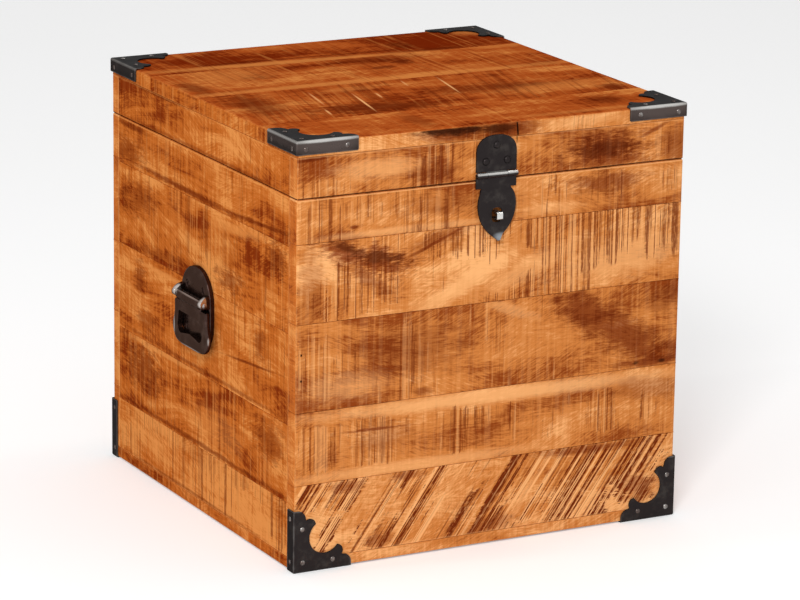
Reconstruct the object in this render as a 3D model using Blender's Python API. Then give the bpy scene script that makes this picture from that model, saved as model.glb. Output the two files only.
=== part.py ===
"""Wooden storage box.

A cube-shaped chest of glued boards. Each corner has a three-way brace of blackened
sheet steel, the front has a hasp and staple, the sides have cast drop handles, and
the lid turns on two butt hinges at the back.

Lengths are in metres. +X runs to the right along the front, +Y to the back, +Z up.
The origin lies at the middle of the box's footprint, on the floor.
"""

import math

import bmesh
import bpy
from mathutils import Matrix, Vector

# Gap between faces that touch on the real box
GAP = 0.0003

# Wooden carcass
BOX_WIDTH = 0.400
BOX_DEPTH = 0.400
WALL = 0.015
BODY_HEIGHT = 0.3443
BOTTOM_THICKNESS = 0.010
LID_HEIGHT = 0.0522
LID_TOP_THICKNESS = 0.014
CORNER_ARRIS = 0.0025
SEAM_ARRIS = 0.0020
GLUE_ARRIS = 0.0005

# Widths of the boards in each glued panel, from the bottom up or from the front back
FRONT_BOARDS = (0.0700, 0.0680, 0.0820, 0.0735, 0.0405)
BACK_BOARDS = (0.0618, 0.0760, 0.0700, 0.0840, 0.0422)
LEFT_BOARDS = (0.0510, 0.0730, 0.0850, 0.0800, 0.0450)
RIGHT_BOARDS = (0.0588, 0.0800, 0.0760, 0.0720, 0.0472)
BOTTOM_BOARDS = (0.0950, 0.1120, 0.0980, 0.0950)
LID_TOP_BOARDS = (0.0790, 0.1260, 0.1060, 0.0890)

# Corner braces
BRACE_SHEET = 0.0012
BRACE_LEG = 0.0587
BRACE_FLANGE = 0.0130
BRACE_BEND = 0.0016
BRACE_FLANGE_CORNER = 0.0012
LID_FRONT_BRACE_EXTRA = 0.0027
BRACE_LOBE_SIDE = 0.0044
BRACE_LOBE_RADIUS = 0.0080
BRACE_EAR_RADIUS = 0.0060
BRACE_EAR_SIDE = 0.0166
BRACE_EAR_DROP = 0.0145
BRACE_EAR_START = 125
BRACE_EAR_END = 8
BRACE_SCALLOP_RADIUS = 0.0158
BRACE_SCALLOP_DROP = 0.0268
BRACE_SCALLOP_START = 127
BRACE_SCALLOP_END = 323

# Hasp on the front
HASP_AXIS_ABOVE_SEAM = 0.0053
HASP_SHEET = 0.0016
HASP_BARREL_RADIUS = 0.0027
HASP_PIN_RADIUS = 0.0011
HASP_PIN_HEAD_RADIUS = 0.0019
HASP_PIN_HEAD = 0.0004
HASP_HALF_WIDTH = 0.0207
HASP_CENTRE_KNUCKLE = 0.0206
HASP_PLATE_HEIGHT = 0.0365
HASP_PLATE_ARCH = 0.0170
HASP_ARCH_POWER = 2.4
STRAP_SHOULDER_DROP = 0.0122
STRAP_NECK = 0.0148
STRAP_LEAF = 0.0196
STRAP_LEAF_DROP = 0.0275
STRAP_TIP_WIDTH = 0.0070
STRAP_BEND_DROP = 0.0546
STRAP_TIP_LENGTH = 0.0058
STRAP_TIP_BLUNT = 0.0010
STRAP_TIP_ANGLE = math.radians(46.0)
STRAP_TIP_BEND = 0.0030
STRAP_STAND_OFF = 0.0027
STRAP_JOGGLE_START = 0.0125
STRAP_JOGGLE_END = 0.0185
SLOT_WIDTH = 0.0108
SLOT_HEIGHT = 0.0136
SLOT_CORNER = 0.0040
SLOT_DROP = 0.0372

# Staple that stands through the slot
STAPLE_STRIP = 0.0012
STAPLE_STRIP_WIDTH = 0.0060
STAPLE_EYE = 0.0048
STAPLE_EYE_HEIGHT = 0.0047
STAPLE_CORNER = 0.0020
STAPLE_LEG_DEPTH = 0.0115
STAPLE_HOLE_SPARE = 0.0012

# Side handles
HANDLE_HEIGHT = 0.1993
HANDLE_PLATE_WIDTH = 0.0636
HANDLE_PLATE_HEIGHT = 0.0815
HANDLE_PLATE_THICKNESS = 0.0048
HANDLE_PLATE_BEVEL = 0.0012
HANDLE_SCREW_SIDE = 0.0168
HANDLE_SCREW_HEIGHT = 0.0208
SCREW_HOLE_RADIUS = 0.0020
SCREW_SINK_RADIUS = 0.0036
HANDLE_AXIS_ABOVE_CENTRE = 0.0100
HANDLE_PIN_RADIUS = 0.0018
HANDLE_PIN_HEAD_RADIUS = 0.0029
HANDLE_PIN_HEAD = 0.0009
LUG_THICKNESS = 0.0063
LUG_UNDERSIDE = 0.0036
LUG_TOP = 0.0099
LUG_BEVEL = 0.0009
LUG_INSET = 0.0003
BAIL_BAR_RADIUS = 0.0042
BAIL_BAR_FRONT = 0.0040
BAIL_BAR_CHAMFER = 0.0012
BAIL_BAR_LENGTH = 0.0494
BAIL_THICKNESS = 0.0050
BAIL_SET_BACK = 0.0014
BAIL_EDGE = 0.0020
BAIL_SHOULDER = 0.0342
BAIL_SHOULDER_DROP = 0.0064
BAIL_WAIST_DROP = 0.0185
BAIL_GRIP_HALF_WIDTH = 0.0384
BAIL_GRIP_DROP = 0.0320
BAIL_REACH = 0.0486
BAIL_ARM_SPREAD = 0.45
BAIL_CORNER_SIDE = 0.0026
BAIL_CORNER_DROP = 0.0085
BAIL_HEEL_SIDE = 0.0095
BAIL_HEEL_RISE = 0.0019
BAIL_FLAT_HALF_WIDTH = 0.0160
BAIL_OPENING_TOP = 0.0163
BAIL_OPENING_TAPER = 0.0020
BAIL_OPENING_HALF_WIDTH = 0.0266
BAIL_OPENING_SIDE_FOOT = 0.0066
BAIL_OPENING_CORNER_RISE = 0.0024
BAIL_OPENING_FLAT = 0.0200
BAIL_GRIP_THICKNESS = 0.0112
BAIL_PALM_HALF_WIDTH = 0.0105
BAIL_PALM_SWELL = 0.0032

# Side view of a lug's nose, as distances out from the axis and above it
LUG_NOSE = (
    (0.0016, -0.0036),
    (0.0046, -0.0018),
    (0.0055, 0.0007),
    (0.0046, 0.0031),
    (0.0022, 0.0059),
    (-0.0008, 0.0080),
)

# Hinges at the back
HINGE_WIDTH = 0.060
HINGE_LEAF = 0.024
HINGE_SHEET = 0.0014
HINGE_FROM_SIDE = 0.090
HINGE_BARREL_RADIUS = 0.0027
HINGE_PIN_RADIUS = 0.0012
HINGE_PIN_HEAD_RADIUS = 0.0023
HINGE_PIN_HEAD = 0.0009
HINGE_CENTRE_KNUCKLE = 0.022
HINGE_CORNER = 0.0030

# Shape of a pin's riveted head, as shares of its radius and height
HEAD_CROWN = 0.45
HEAD_SHOULDER = 0.85
HEAD_SHOULDER_HEIGHT = 0.6

# Facets
BARREL_SIDES = 20
HOLE_SIDES = 16
ARRIS_SEGMENTS = 2
BEND_SEGMENTS = 3
LOBE_STEPS = 7
EAR_STEPS = 7
SCALLOP_STEPS = 22
ARCH_STEPS = 12
LEAF_STEPS = 7
JOGGLE_STEPS = 4
PLATE_STEPS = 14
CORNER_STEPS = 4
CURVE_STEPS = 4
SMOOTH_ANGLE = 35.0

# How far a cutter stands past what it cuts
CUT_PAST = 0.001

# Places that follow from the sizes above
WOOD_BOTTOM = BRACE_SHEET + GAP
BODY_TOP = WOOD_BOTTOM + BODY_HEIGHT
LID_BOTTOM = BODY_TOP + GAP
LID_TOP = LID_BOTTOM + LID_HEIGHT
SEAM = (BODY_TOP + LID_BOTTOM) / 2
WALL_BOTTOM = WOOD_BOTTOM + BOTTOM_THICKNESS + GAP
RAIL_TOP = LID_TOP - LID_TOP_THICKNESS - GAP
STRAP_FACE = STRAP_STAND_OFF + HASP_SHEET
STAPLE_REACH = STRAP_FACE + STAPLE_EYE + STAPLE_STRIP
HINGE_OUT = GAP + HINGE_BARREL_RADIUS
BACK_REACH = HINGE_OUT + HINGE_BARREL_RADIUS
MIDDLE = (STAPLE_REACH - BACK_REACH) / 2
FRONT = MIDDLE - BOX_DEPTH / 2
BACK = MIDDLE + BOX_DEPTH / 2
LEFT = -BOX_WIDTH / 2
RIGHT = BOX_WIDTH / 2
HASP_AXIS = SEAM + HASP_AXIS_ABOVE_SEAM
HASP_OUT = GAP + HASP_BARREL_RADIUS
HANDLE_OUT = 2 * GAP + HANDLE_PLATE_THICKNESS + BAIL_BAR_RADIUS
LUG_INNER = BAIL_BAR_LENGTH / 2 + GAP
LUG_OUTER = LUG_INNER + LUG_THICKNESS

# Colours as 8-bit red, green and blue
HONEY = (214, 142, 78)
AMBER = (205, 125, 60)
TAN = (190, 108, 52)
CHESTNUT = (170, 82, 38)
BLACK_STEEL = (45, 42, 44)
CAST_IRON = (48, 39, 37)
BRIGHT_STEEL = (198, 196, 192)

# Roughness and metallic share of each finish
WOOD_FINISH = (0.38, 0.0)
BLACK_STEEL_FINISH = (0.42, 0.9)
CAST_IRON_FINISH = (0.30, 0.8)
BRIGHT_STEEL_FINISH = (0.28, 1.0)

# Direction of each face of the box
FACES = {
    "left": Vector((-1, 0, 0)),
    "right": Vector((1, 0, 0)),
    "front": Vector((0, -1, 0)),
    "back": Vector((0, 1, 0)),
    "under": Vector((0, 0, -1)),
    "top": Vector((0, 0, 1)),
}


def clear_scene():
    """Remove what a new file starts with."""
    for item in list(bpy.data.objects):
        bpy.data.objects.remove(item, do_unlink=True)


def linear(level):
    """Turn an 8-bit colour level into the linear value that a shader takes."""
    value = level / 255
    if value <= 0.04045:
        return value / 12.92
    return ((value + 0.055) / 1.055) ** 2.4


def finish(name, colour, roughness, metallic):
    """A Principled material of one colour."""
    material = bpy.data.materials.new(name)
    material.use_nodes = True
    shader = material.node_tree.nodes["Principled BSDF"]
    shader.inputs["Base Color"].default_value = (*map(linear, colour), 1.0)
    shader.inputs["Roughness"].default_value = roughness
    shader.inputs["Metallic"].default_value = metallic
    return material


def wood(name, colour):
    return finish(name, colour, *WOOD_FINISH)


def black_steel(name):
    return finish(name, BLACK_STEEL, *BLACK_STEEL_FINISH)


def cast_iron(name):
    return finish(name, CAST_IRON, *CAST_IRON_FINISH)


def bright_steel(name):
    return finish(name, BRIGHT_STEEL, *BRIGHT_STEEL_FINISH)


def add_object(name, data, material, matrix, parent=None):
    """Link one named piece at a place in the world."""
    piece = bpy.data.objects.new(name, data)
    bpy.context.scene.collection.objects.link(piece)
    if len(data.materials) == 0:
        data.materials.append(None)
    piece.material_slots[0].link = 'OBJECT'
    piece.material_slots[0].material = material
    if parent is None:
        piece.matrix_world = matrix
    else:
        piece.parent = parent
        piece.matrix_basis = parent.matrix_basis.inverted() @ matrix
    return piece


def add_axis(name, matrix):
    """An empty on a joint's axis, which carries the pieces that turn about it."""
    axis = bpy.data.objects.new(name, None)
    axis.empty_display_size = 0.02
    bpy.context.scene.collection.objects.link(axis)
    axis.matrix_world = matrix
    return axis


def face_frame(face, across, height, out):
    """A frame on an upright face: X to the right as seen from outside, Y up, Z out.

    The three values give the origin: along the face, above the floor, off the wood.
    """
    normal = FACES[face]
    up = Vector((0, 0, 1))
    right = up.cross(normal)
    plane = {
        "left": Vector((LEFT, MIDDLE, 0)),
        "right": Vector((RIGHT, MIDDLE, 0)),
        "front": Vector((0, FRONT, 0)),
        "back": Vector((0, BACK, 0)),
    }[face]
    origin = plane + right * across + up * height + normal * out
    rotation = Matrix((right, up, normal)).transposed().to_4x4()
    return Matrix.Translation(origin) @ rotation


def mesh_of(bm, name):
    """Write a bmesh out as a mesh whose faces look outward."""
    bmesh.ops.recalc_face_normals(bm, faces=bm.faces)
    mesh = bpy.data.meshes.new(name)
    bm.to_mesh(mesh)
    bm.free()
    return mesh


def smooth(mesh):
    """Shade the round stretches smooth and keep the corners sharp."""
    mesh.shade_smooth()
    mesh.set_sharp_from_angle(angle=math.radians(SMOOTH_ANGLE))
    return mesh


def arc(centre, radius, start, end, steps):
    """Points along an arc, from one angle to another in degrees."""
    points = []
    for step in range(steps + 1):
        angle = math.radians(start + (end - start) * step / steps)
        x = centre[0] + radius * math.cos(angle)
        y = centre[1] + radius * math.sin(angle)
        points.append((x, y))
    return points


def curve_through(points, steps=CURVE_STEPS):
    """A smooth line through the points, with some steps for each stretch."""
    ends = [points[0]] + list(points) + [points[-1]]
    line = []
    for before, start, end, after in zip(ends, ends[1:], ends[2:], ends[3:]):
        for step in range(steps):
            t = step / steps
            weights = (
                -0.5 * t + t * t - 0.5 * t ** 3,
                1 - 2.5 * t * t + 1.5 * t ** 3,
                0.5 * t + 2 * t * t - 1.5 * t ** 3,
                -0.5 * t * t + 0.5 * t ** 3,
            )
            corners = (before, start, end, after)
            x = sum(weight * corner[0] for weight, corner in zip(weights, corners))
            y = sum(weight * corner[1] for weight, corner in zip(weights, corners))
            line.append((x, y))
    line.append(points[-1])
    return line


def mirrored(half):
    """Close a half outline, given from top to bottom at +X, with its mirror image."""
    return list(half) + [(-x, y) for x, y in reversed(half) if x > 1e-9]


def rounded_rectangle(left, right, low, high, radius, steps=CORNER_STEPS):
    """A rectangle's outline with four round corners."""
    corners = (
        (right - radius, high - radius, 0),
        (left + radius, high - radius, 90),
        (left + radius, low + radius, 180),
        (right - radius, low + radius, 270),
    )
    outline = []
    for x, y, start in corners:
        outline += arc((x, y), radius, start, start + 90, steps)
    return outline


def prism(outline, low, high):
    """Extrude an outline in X and Y from one height in Z to another."""
    bm = bmesh.new()
    base = bm.faces.new([bm.verts.new((x, y, low)) for x, y in outline])
    grown = bmesh.ops.extrude_face_region(bm, geom=[base])
    top = [item for item in grown["geom"] if isinstance(item, bmesh.types.BMVert)]
    bmesh.ops.translate(bm, vec=(0, 0, high - low), verts=top)
    return bm


def bar_along_x(profile, start, end):
    """Extrude a profile of (Z, Y) points along X."""
    bm = bmesh.new()
    base = bm.faces.new([bm.verts.new((start, y, z)) for z, y in profile])
    grown = bmesh.ops.extrude_face_region(bm, geom=[base])
    far = [item for item in grown["geom"] if isinstance(item, bmesh.types.BMVert)]
    bmesh.ops.translate(bm, vec=(end - start, 0, 0), verts=far)
    return bm


def rod_along_x(radius, start, end, out=0.0, height=0.0, sides=BARREL_SIDES):
    """A round bar along X."""
    circle = arc((out, height), radius, 0, 360, sides)[:-1]
    return bar_along_x(circle, start, end)


def bevel_edges(bm, edges, width, segments):
    bmesh.ops.bevel(bm, geom=edges, offset=width, offset_type='OFFSET', affect='EDGES',
                    segments=segments, profile=0.5, clamp_overlap=True)


def edges_at_height(bm, height):
    """The edges of an extruded outline that lie flat at one height in Z."""
    return [edge for edge in bm.edges
            if all(abs(vert.co.z - height) < 1e-6 for vert in edge.verts)]


def combine(base, tool, operation):
    """Join or cut two meshes with an exact Boolean, and return the new mesh."""
    holder = bpy.data.objects.new("combine_base", base)
    other = bpy.data.objects.new("combine_tool", tool)
    for item in (holder, other):
        bpy.context.scene.collection.objects.link(item)
    modifier = holder.modifiers.new("combine", 'BOOLEAN')
    modifier.operation = operation
    modifier.solver = 'EXACT'
    modifier.object = other
    graph = bpy.context.evaluated_depsgraph_get()
    result = bpy.data.meshes.new_from_object(holder.evaluated_get(graph))
    result.name = base.name
    for item in (holder, other):
        bpy.data.objects.remove(item, do_unlink=True)
    return result


def union(base, *tools):
    for tool in tools:
        base = combine(base, tool, 'UNION')
    return base


def cut(base, *tools):
    for tool in tools:
        base = combine(base, tool, 'DIFFERENCE')
    return base


# Boards

def board(name, low, high, colour, arrises, parent=None):
    """A board between two corners; arrises maps a pair of faces to a radius."""
    low = Vector(low)
    high = Vector(high)
    centre = (low + high) / 2
    widest = max(arrises.values())
    bm = bmesh.new()
    bmesh.ops.create_cube(bm, size=1.0)
    bmesh.ops.scale(bm, vec=high - low, verts=bm.verts)
    weight = bm.edges.layers.float.new("bevel_weight_edge")
    for edge in bm.edges:
        normals = [face.normal for face in edge.link_faces]
        for pair, radius in arrises.items():
            if all(max(normal.dot(FACES[side]) for normal in normals) > 0.9 for side in pair):
                edge[weight] = radius / widest
    mesh = smooth(mesh_of(bm, name))
    piece = add_object(name, mesh, wood(name, colour), Matrix.Translation(centre), parent)
    bevel = piece.modifiers.new("arrises", 'BEVEL')
    bevel.limit_method = 'WEIGHT'
    bevel.width = widest
    bevel.segments = ARRIS_SEGMENTS
    return piece


def panel_strips(low, high, widths):
    """Share a span between boards in proportion to their widths, a glue line apart."""
    usable = high - low - GAP * (len(widths) - 1)
    scale = usable / sum(widths)
    strips = []
    start = low
    for width in widths:
        strips.append((start, start + width * scale))
        start += width * scale + GAP
    return strips


def end_arrises(outer, upper, lower):
    """Arrises of a full-width board: its outer face and both of its end-grain ends."""
    arrises = {(outer, "top"): upper, (outer, "under"): lower}
    inner = {"front": "back", "back": "front"}[outer]
    for end in ("left", "right"):
        arrises[(outer, end)] = CORNER_ARRIS
        arrises[(inner, end)] = GLUE_ARRIS
        arrises[(end, "top")] = upper
        arrises[(end, "under")] = lower
    return arrises


def build_body_walls():
    """Front and back panels run the full width; the side panels stand between them."""
    panels = (
        ("front", FRONT_BOARDS, (LEFT, FRONT), (RIGHT, FRONT + WALL), (HONEY, AMBER)),
        ("back", BACK_BOARDS, (LEFT, BACK - WALL), (RIGHT, BACK), (AMBER, HONEY)),
    )
    for side, widths, near, far, colours in panels:
        strips = panel_strips(WALL_BOTTOM, BODY_TOP, widths)
        for number, (low, high) in enumerate(strips, 1):
            upper = SEAM_ARRIS if number == len(strips) else GLUE_ARRIS
            board(f"{side}_board_{number}", (*near, low), (*far, high),
                  colours[number % 2], end_arrises(side, upper, GLUE_ARRIS))
    inner_front = FRONT + WALL + GAP
    inner_back = BACK - WALL - GAP
    sides = (
        ("left", LEFT_BOARDS, LEFT, LEFT + WALL, (TAN, AMBER)),
        ("right", RIGHT_BOARDS, RIGHT - WALL, RIGHT, (AMBER, TAN)),
    )
    for side, widths, near, far, colours in sides:
        strips = panel_strips(WALL_BOTTOM, BODY_TOP, widths)
        for number, (low, high) in enumerate(strips, 1):
            upper = SEAM_ARRIS if number == len(strips) else GLUE_ARRIS
            arrises = {(side, "top"): upper, (side, "under"): GLUE_ARRIS}
            board(f"{side}_board_{number}", (near, inner_front, low), (far, inner_back, high),
                  colours[number % 2], arrises)


def flat_panel(prefix, widths, low, high, colours, outer, outer_arris, parent=None):
    """A panel of boards that lie flat, side by side from the front to the back."""
    inner = {"top": "under", "under": "top"}[outer]
    strips = panel_strips(FRONT, BACK, widths)
    for number, (near, far) in enumerate(strips, 1):
        arrises = {
            (outer, "left"): outer_arris,
            (outer, "right"): outer_arris,
            (inner, "left"): GLUE_ARRIS,
            (inner, "right"): GLUE_ARRIS,
            (outer, "front"): GLUE_ARRIS,
            (outer, "back"): GLUE_ARRIS,
            ("front", "left"): GLUE_ARRIS,
            ("front", "right"): GLUE_ARRIS,
            ("back", "left"): GLUE_ARRIS,
            ("back", "right"): GLUE_ARRIS,
        }
        for edge_number, side in ((1, "front"), (len(strips), "back")):
            if number == edge_number:
                arrises[(outer, side)] = outer_arris
                arrises[(inner, side)] = GLUE_ARRIS
                arrises[(side, "left")] = CORNER_ARRIS
                arrises[(side, "right")] = CORNER_ARRIS
        board(f"{prefix}_{number}", (LEFT, near, low), (RIGHT, far, high),
              colours[number % 2], arrises, parent)


def build_bottom():
    flat_panel("bottom_board", BOTTOM_BOARDS, WOOD_BOTTOM, WOOD_BOTTOM + BOTTOM_THICKNESS,
               (AMBER, TAN), "under", GLUE_ARRIS)


def build_lid(axis):
    """A top panel over four rails."""
    flat_panel("lid_top_board", LID_TOP_BOARDS, LID_TOP - LID_TOP_THICKNESS, LID_TOP,
               (CHESTNUT, TAN), "top", SEAM_ARRIS, axis)
    for side, near, far in (("front", FRONT, FRONT + WALL), ("back", BACK - WALL, BACK)):
        board(f"lid_{side}_rail", (LEFT, near, LID_BOTTOM), (RIGHT, far, RAIL_TOP),
              AMBER, end_arrises(side, GLUE_ARRIS, SEAM_ARRIS), axis)
    for side, near, far in (("left", LEFT, LEFT + WALL), ("right", RIGHT - WALL, RIGHT)):
        board(f"lid_{side}_rail", (near, FRONT + WALL + GAP, LID_BOTTOM),
              (far, BACK - WALL - GAP, RAIL_TOP), TAN,
              {(side, "top"): GLUE_ARRIS, (side, "under"): SEAM_ARRIS}, axis)


# Corner braces

def brace_waste():
    """Outline of what is cut from the square plate to leave its lobes and scallop."""
    beyond = BRACE_LEG + BRACE_FLANGE
    lobe_centre = (BRACE_LOBE_SIDE, BRACE_LEG - BRACE_LOBE_RADIUS)
    lobe = arc(lobe_centre, BRACE_LOBE_RADIUS, 90, 0, LOBE_STEPS)
    ear_centre = (BRACE_EAR_SIDE, BRACE_LEG - BRACE_EAR_DROP)
    ear = arc(ear_centre, BRACE_EAR_RADIUS, BRACE_EAR_START, BRACE_EAR_END, EAR_STEPS)
    middle = BRACE_LEG - BRACE_SCALLOP_DROP
    scallop = arc((middle, middle), BRACE_SCALLOP_RADIUS, BRACE_SCALLOP_START,
                  BRACE_SCALLOP_END, SCALLOP_STEPS)
    far_side = [(y, x) for x, y in reversed(lobe + ear)]
    outline = [(BRACE_LOBE_SIDE, beyond)] + lobe + ear + scallop + far_side
    return outline + [(beyond, BRACE_LOBE_SIDE), (beyond, beyond)]


def brace_mesh(extra_x, extra_y):
    """A plate in X and Y with a flange down each straight edge, corner at the origin.

    The extras are how much further the lobes stand from the flange across X and Y.
    """
    bm = bmesh.new()
    bmesh.ops.create_cube(bm, size=1.0)
    size = Vector((BRACE_LEG + extra_x, BRACE_LEG + extra_y, BRACE_FLANGE))
    bmesh.ops.scale(bm, vec=size, verts=bm.verts)
    bmesh.ops.translate(bm, vec=size / 2, verts=bm.verts)
    bends = []
    flange_ends = []
    for edge in bm.edges:
        middle = (edge.verts[0].co + edge.verts[1].co) / 2
        if sum(abs(value) < 1e-6 for value in middle) == 2:
            bends.append(edge)
        elif abs(middle.z - size.z) < 1e-6 and (middle.x > size.x - 1e-6
                                                or middle.y > size.y - 1e-6):
            flange_ends.append(edge)
    bevel_edges(bm, bends, BRACE_BEND, BEND_SEGMENTS)
    flange_ends = [edge for edge in flange_ends if edge.is_valid]
    bevel_edges(bm, flange_ends, BRACE_FLANGE_CORNER, BEND_SEGMENTS)
    shell = mesh_of(bm, "corner_brace")
    beyond = BRACE_LEG + BRACE_FLANGE
    inside = prism([(BRACE_SHEET, BRACE_SHEET), (beyond, BRACE_SHEET),
                    (beyond, beyond), (BRACE_SHEET, beyond)], BRACE_SHEET, beyond)
    outline = [(x + extra_x, y + extra_y) for x, y in brace_waste()]
    waste = prism(outline, -BRACE_SHEET, BRACE_SHEET + GAP)
    return smooth(cut(shell, mesh_of(inside, "brace_inside"), mesh_of(waste, "brace_waste")))


def build_braces(lid_axis):
    """Four on the lid with the plate on top, four on the base with it on front or back."""
    even = brace_mesh(0, 0)
    long_x = brace_mesh(LID_FRONT_BRACE_EXTRA, 0)
    long_y = brace_mesh(0, LID_FRONT_BRACE_EXTRA)
    off = BRACE_SHEET + GAP
    ends = {"left": (LEFT - off, 1), "right": (RIGHT + off, -1)}
    depths = {"front": (FRONT - off, 1), "back": (BACK + off, -1)}
    for level, parent in (("lid", lid_axis), ("base", None)):
        for depth_name, (y, inward) in depths.items():
            for end_name, (x, along) in ends.items():
                z = LID_TOP + off if level == "lid" else WOOD_BOTTOM - off
                away_x = Vector((along, 0, 0))
                away_y = Vector((0, inward, 0))
                away_z = Vector((0, 0, -1 if level == "lid" else 1))
                legs = (away_x, away_y, away_z) if level == "lid" else (away_x, away_z, away_y)
                mesh = long_x if (level, depth_name) == ("lid", "front") else even
                if legs[0].cross(legs[1]).dot(legs[2]) < 0:
                    legs = (legs[1], legs[0], legs[2])
                    mesh = long_y if mesh is long_x else even
                rotation = Matrix(legs).transposed().to_4x4()
                place = Matrix.Translation(Vector((x, y, z))) @ rotation
                name = f"{level}_brace_{depth_name}_{end_name}"
                add_object(name, mesh, black_steel(name), place, parent)


# Hasp and staple

def line_beside(line, distance):
    """A line at a distance to the left of another, with mitred corners."""
    normals = []
    for (x1, y1), (x2, y2) in zip(line, line[1:]):
        length = math.hypot(x2 - x1, y2 - y1)
        normals.append(((y1 - y2) / length, (x2 - x1) / length))
    beside = []
    for (x, y), before, after in zip(line, normals[:1] + normals, normals + normals[-1:]):
        mitre = (before[0] + after[0], before[1] + after[1])
        share = distance / (1 + before[0] * after[0] + before[1] * after[1])
        beside.append((x + share * mitre[0], y + share * mitre[1]))
    return beside


def rolled_profile(back_line, sheet, radius):
    """Side view of a sheet that hangs down and is rolled round the axis, as (Z, Y).

    The line is the sheet's back, from beside the axis down to its end.
    """
    back = back_line[0][0]
    start = -math.degrees(math.acos((back + sheet) / radius))
    end = 360 - math.degrees(math.acos(max(back / radius, -1.0)))
    roll = arc((0, 0), radius, start, end, BARREL_SIDES)
    front_line = line_beside(back_line, sheet)
    return roll + back_line[1:] + front_line[:0:-1]


def rolled_piece(name, profile, outline, bore_radius):
    """Roll a wide strip, trim it to an outline seen from the front, and bore the roll."""
    reach = 2 * max(abs(x) for x, y in outline)
    depth = 2 * max(abs(z) for z, y in profile)
    strip = mesh_of(bar_along_x(profile, -reach, reach), name)
    trim = mesh_of(prism(outline, -depth, depth), "trim")
    bore = rod_along_x(bore_radius, -2 * reach, 2 * reach, sides=HOLE_SIDES)
    return smooth(cut(combine(strip, trim, 'INTERSECT'), mesh_of(bore, "bore")))


def flipped(profile):
    """Turn a profile or outline upside down."""
    return [(x, -y) for x, y in reversed(profile)]


def hasp_plate_mesh():
    """An arched plate that carries the centre knuckle; the origin is on the axis."""
    clear = HASP_BARREL_RADIUS + GAP
    half = HASP_CENTRE_KNUCKLE / 2
    arch = []
    for step in range(ARCH_STEPS + 1):
        angle = math.pi / 2 * step / ARCH_STEPS
        x = HASP_HALF_WIDTH * math.sin(angle) ** (2 / HASP_ARCH_POWER)
        rise = HASP_PLATE_ARCH * math.cos(angle) ** (2 / HASP_ARCH_POWER)
        arch.append((x, HASP_PLATE_HEIGHT - HASP_PLATE_ARCH + rise))
    side = arch + [(HASP_HALF_WIDTH, clear), (half, clear), (half, -2 * clear)]
    back = GAP - HASP_OUT
    profile = rolled_profile([(back, 0), (back, -HASP_PLATE_HEIGHT - clear)], HASP_SHEET,
                             HASP_BARREL_RADIUS)
    return rolled_piece("hasp_plate", flipped(profile), mirrored(side), HASP_PIN_RADIUS + GAP)


def leaf_arc(narrow, narrow_drop):
    """An arc that is upright at the leaf's widest point and ends at a narrower one."""
    inset = STRAP_LEAF - narrow
    fall = STRAP_LEAF_DROP - narrow_drop
    radius = (inset * inset + fall * fall) / (2 * inset)
    end = math.degrees(math.asin(fall / radius))
    return arc((STRAP_LEAF - radius, -STRAP_LEAF_DROP), radius, 0, end, LEAF_STEPS)


def strap_back_line():
    """Side view of the strap's back: flat on the box, a joggle outward, a bent tip."""
    flat = GAP - HASP_OUT
    lifted = STRAP_STAND_OFF - HASP_OUT
    line = [(flat, 0)]
    for step in range(JOGGLE_STEPS + 1):
        share = step / JOGGLE_STEPS
        drop = STRAP_JOGGLE_START + (STRAP_JOGGLE_END - STRAP_JOGGLE_START) * share
        line.append((flat + (lifted - flat) * (1 - math.cos(math.pi * share)) / 2, -drop))
    turned = 180 + math.degrees(STRAP_TIP_ANGLE)
    line += arc((lifted + STRAP_TIP_BEND, -STRAP_BEND_DROP), STRAP_TIP_BEND, 180, turned,
                BEND_SEGMENTS)
    tip = Vector(line[-1]) + STRAP_TIP_LENGTH * Vector((math.sin(STRAP_TIP_ANGLE),
                                                        -math.cos(STRAP_TIP_ANGLE)))
    return line + [tuple(tip)]


def strap_mesh():
    """The leaf-shaped strap with its two knuckles, slot and bent tip."""
    half = HASP_CENTRE_KNUCKLE / 2 + GAP
    clear = HASP_BARREL_RADIUS + GAP
    back_line = strap_back_line()
    end = -back_line[-1][1]
    upper = leaf_arc(STRAP_NECK, STRAP_SHOULDER_DROP)
    lower = leaf_arc(STRAP_TIP_WIDTH, STRAP_BEND_DROP)
    side = [(half, -clear), (half, 2 * clear), (HASP_HALF_WIDTH, 2 * clear),
            (HASP_HALF_WIDTH, -STRAP_SHOULDER_DROP)]
    side += list(reversed(upper)) + lower[1:]
    side += [(STRAP_TIP_BLUNT, HASP_SHEET / 2 - end), (STRAP_TIP_BLUNT / 4, -end - GAP)]
    profile = rolled_profile(back_line, HASP_SHEET, HASP_BARREL_RADIUS)
    mesh = rolled_piece("hasp_strap", profile, mirrored(side), HASP_PIN_RADIUS + GAP)
    slot = prism(rounded_rectangle(-SLOT_WIDTH / 2, SLOT_WIDTH / 2,
                                   -SLOT_DROP - SLOT_HEIGHT / 2, -SLOT_DROP + SLOT_HEIGHT / 2,
                                   SLOT_CORNER), -2 * clear, 2 * clear)
    return smooth(cut(mesh, mesh_of(slot, "strap_slot")))


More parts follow.
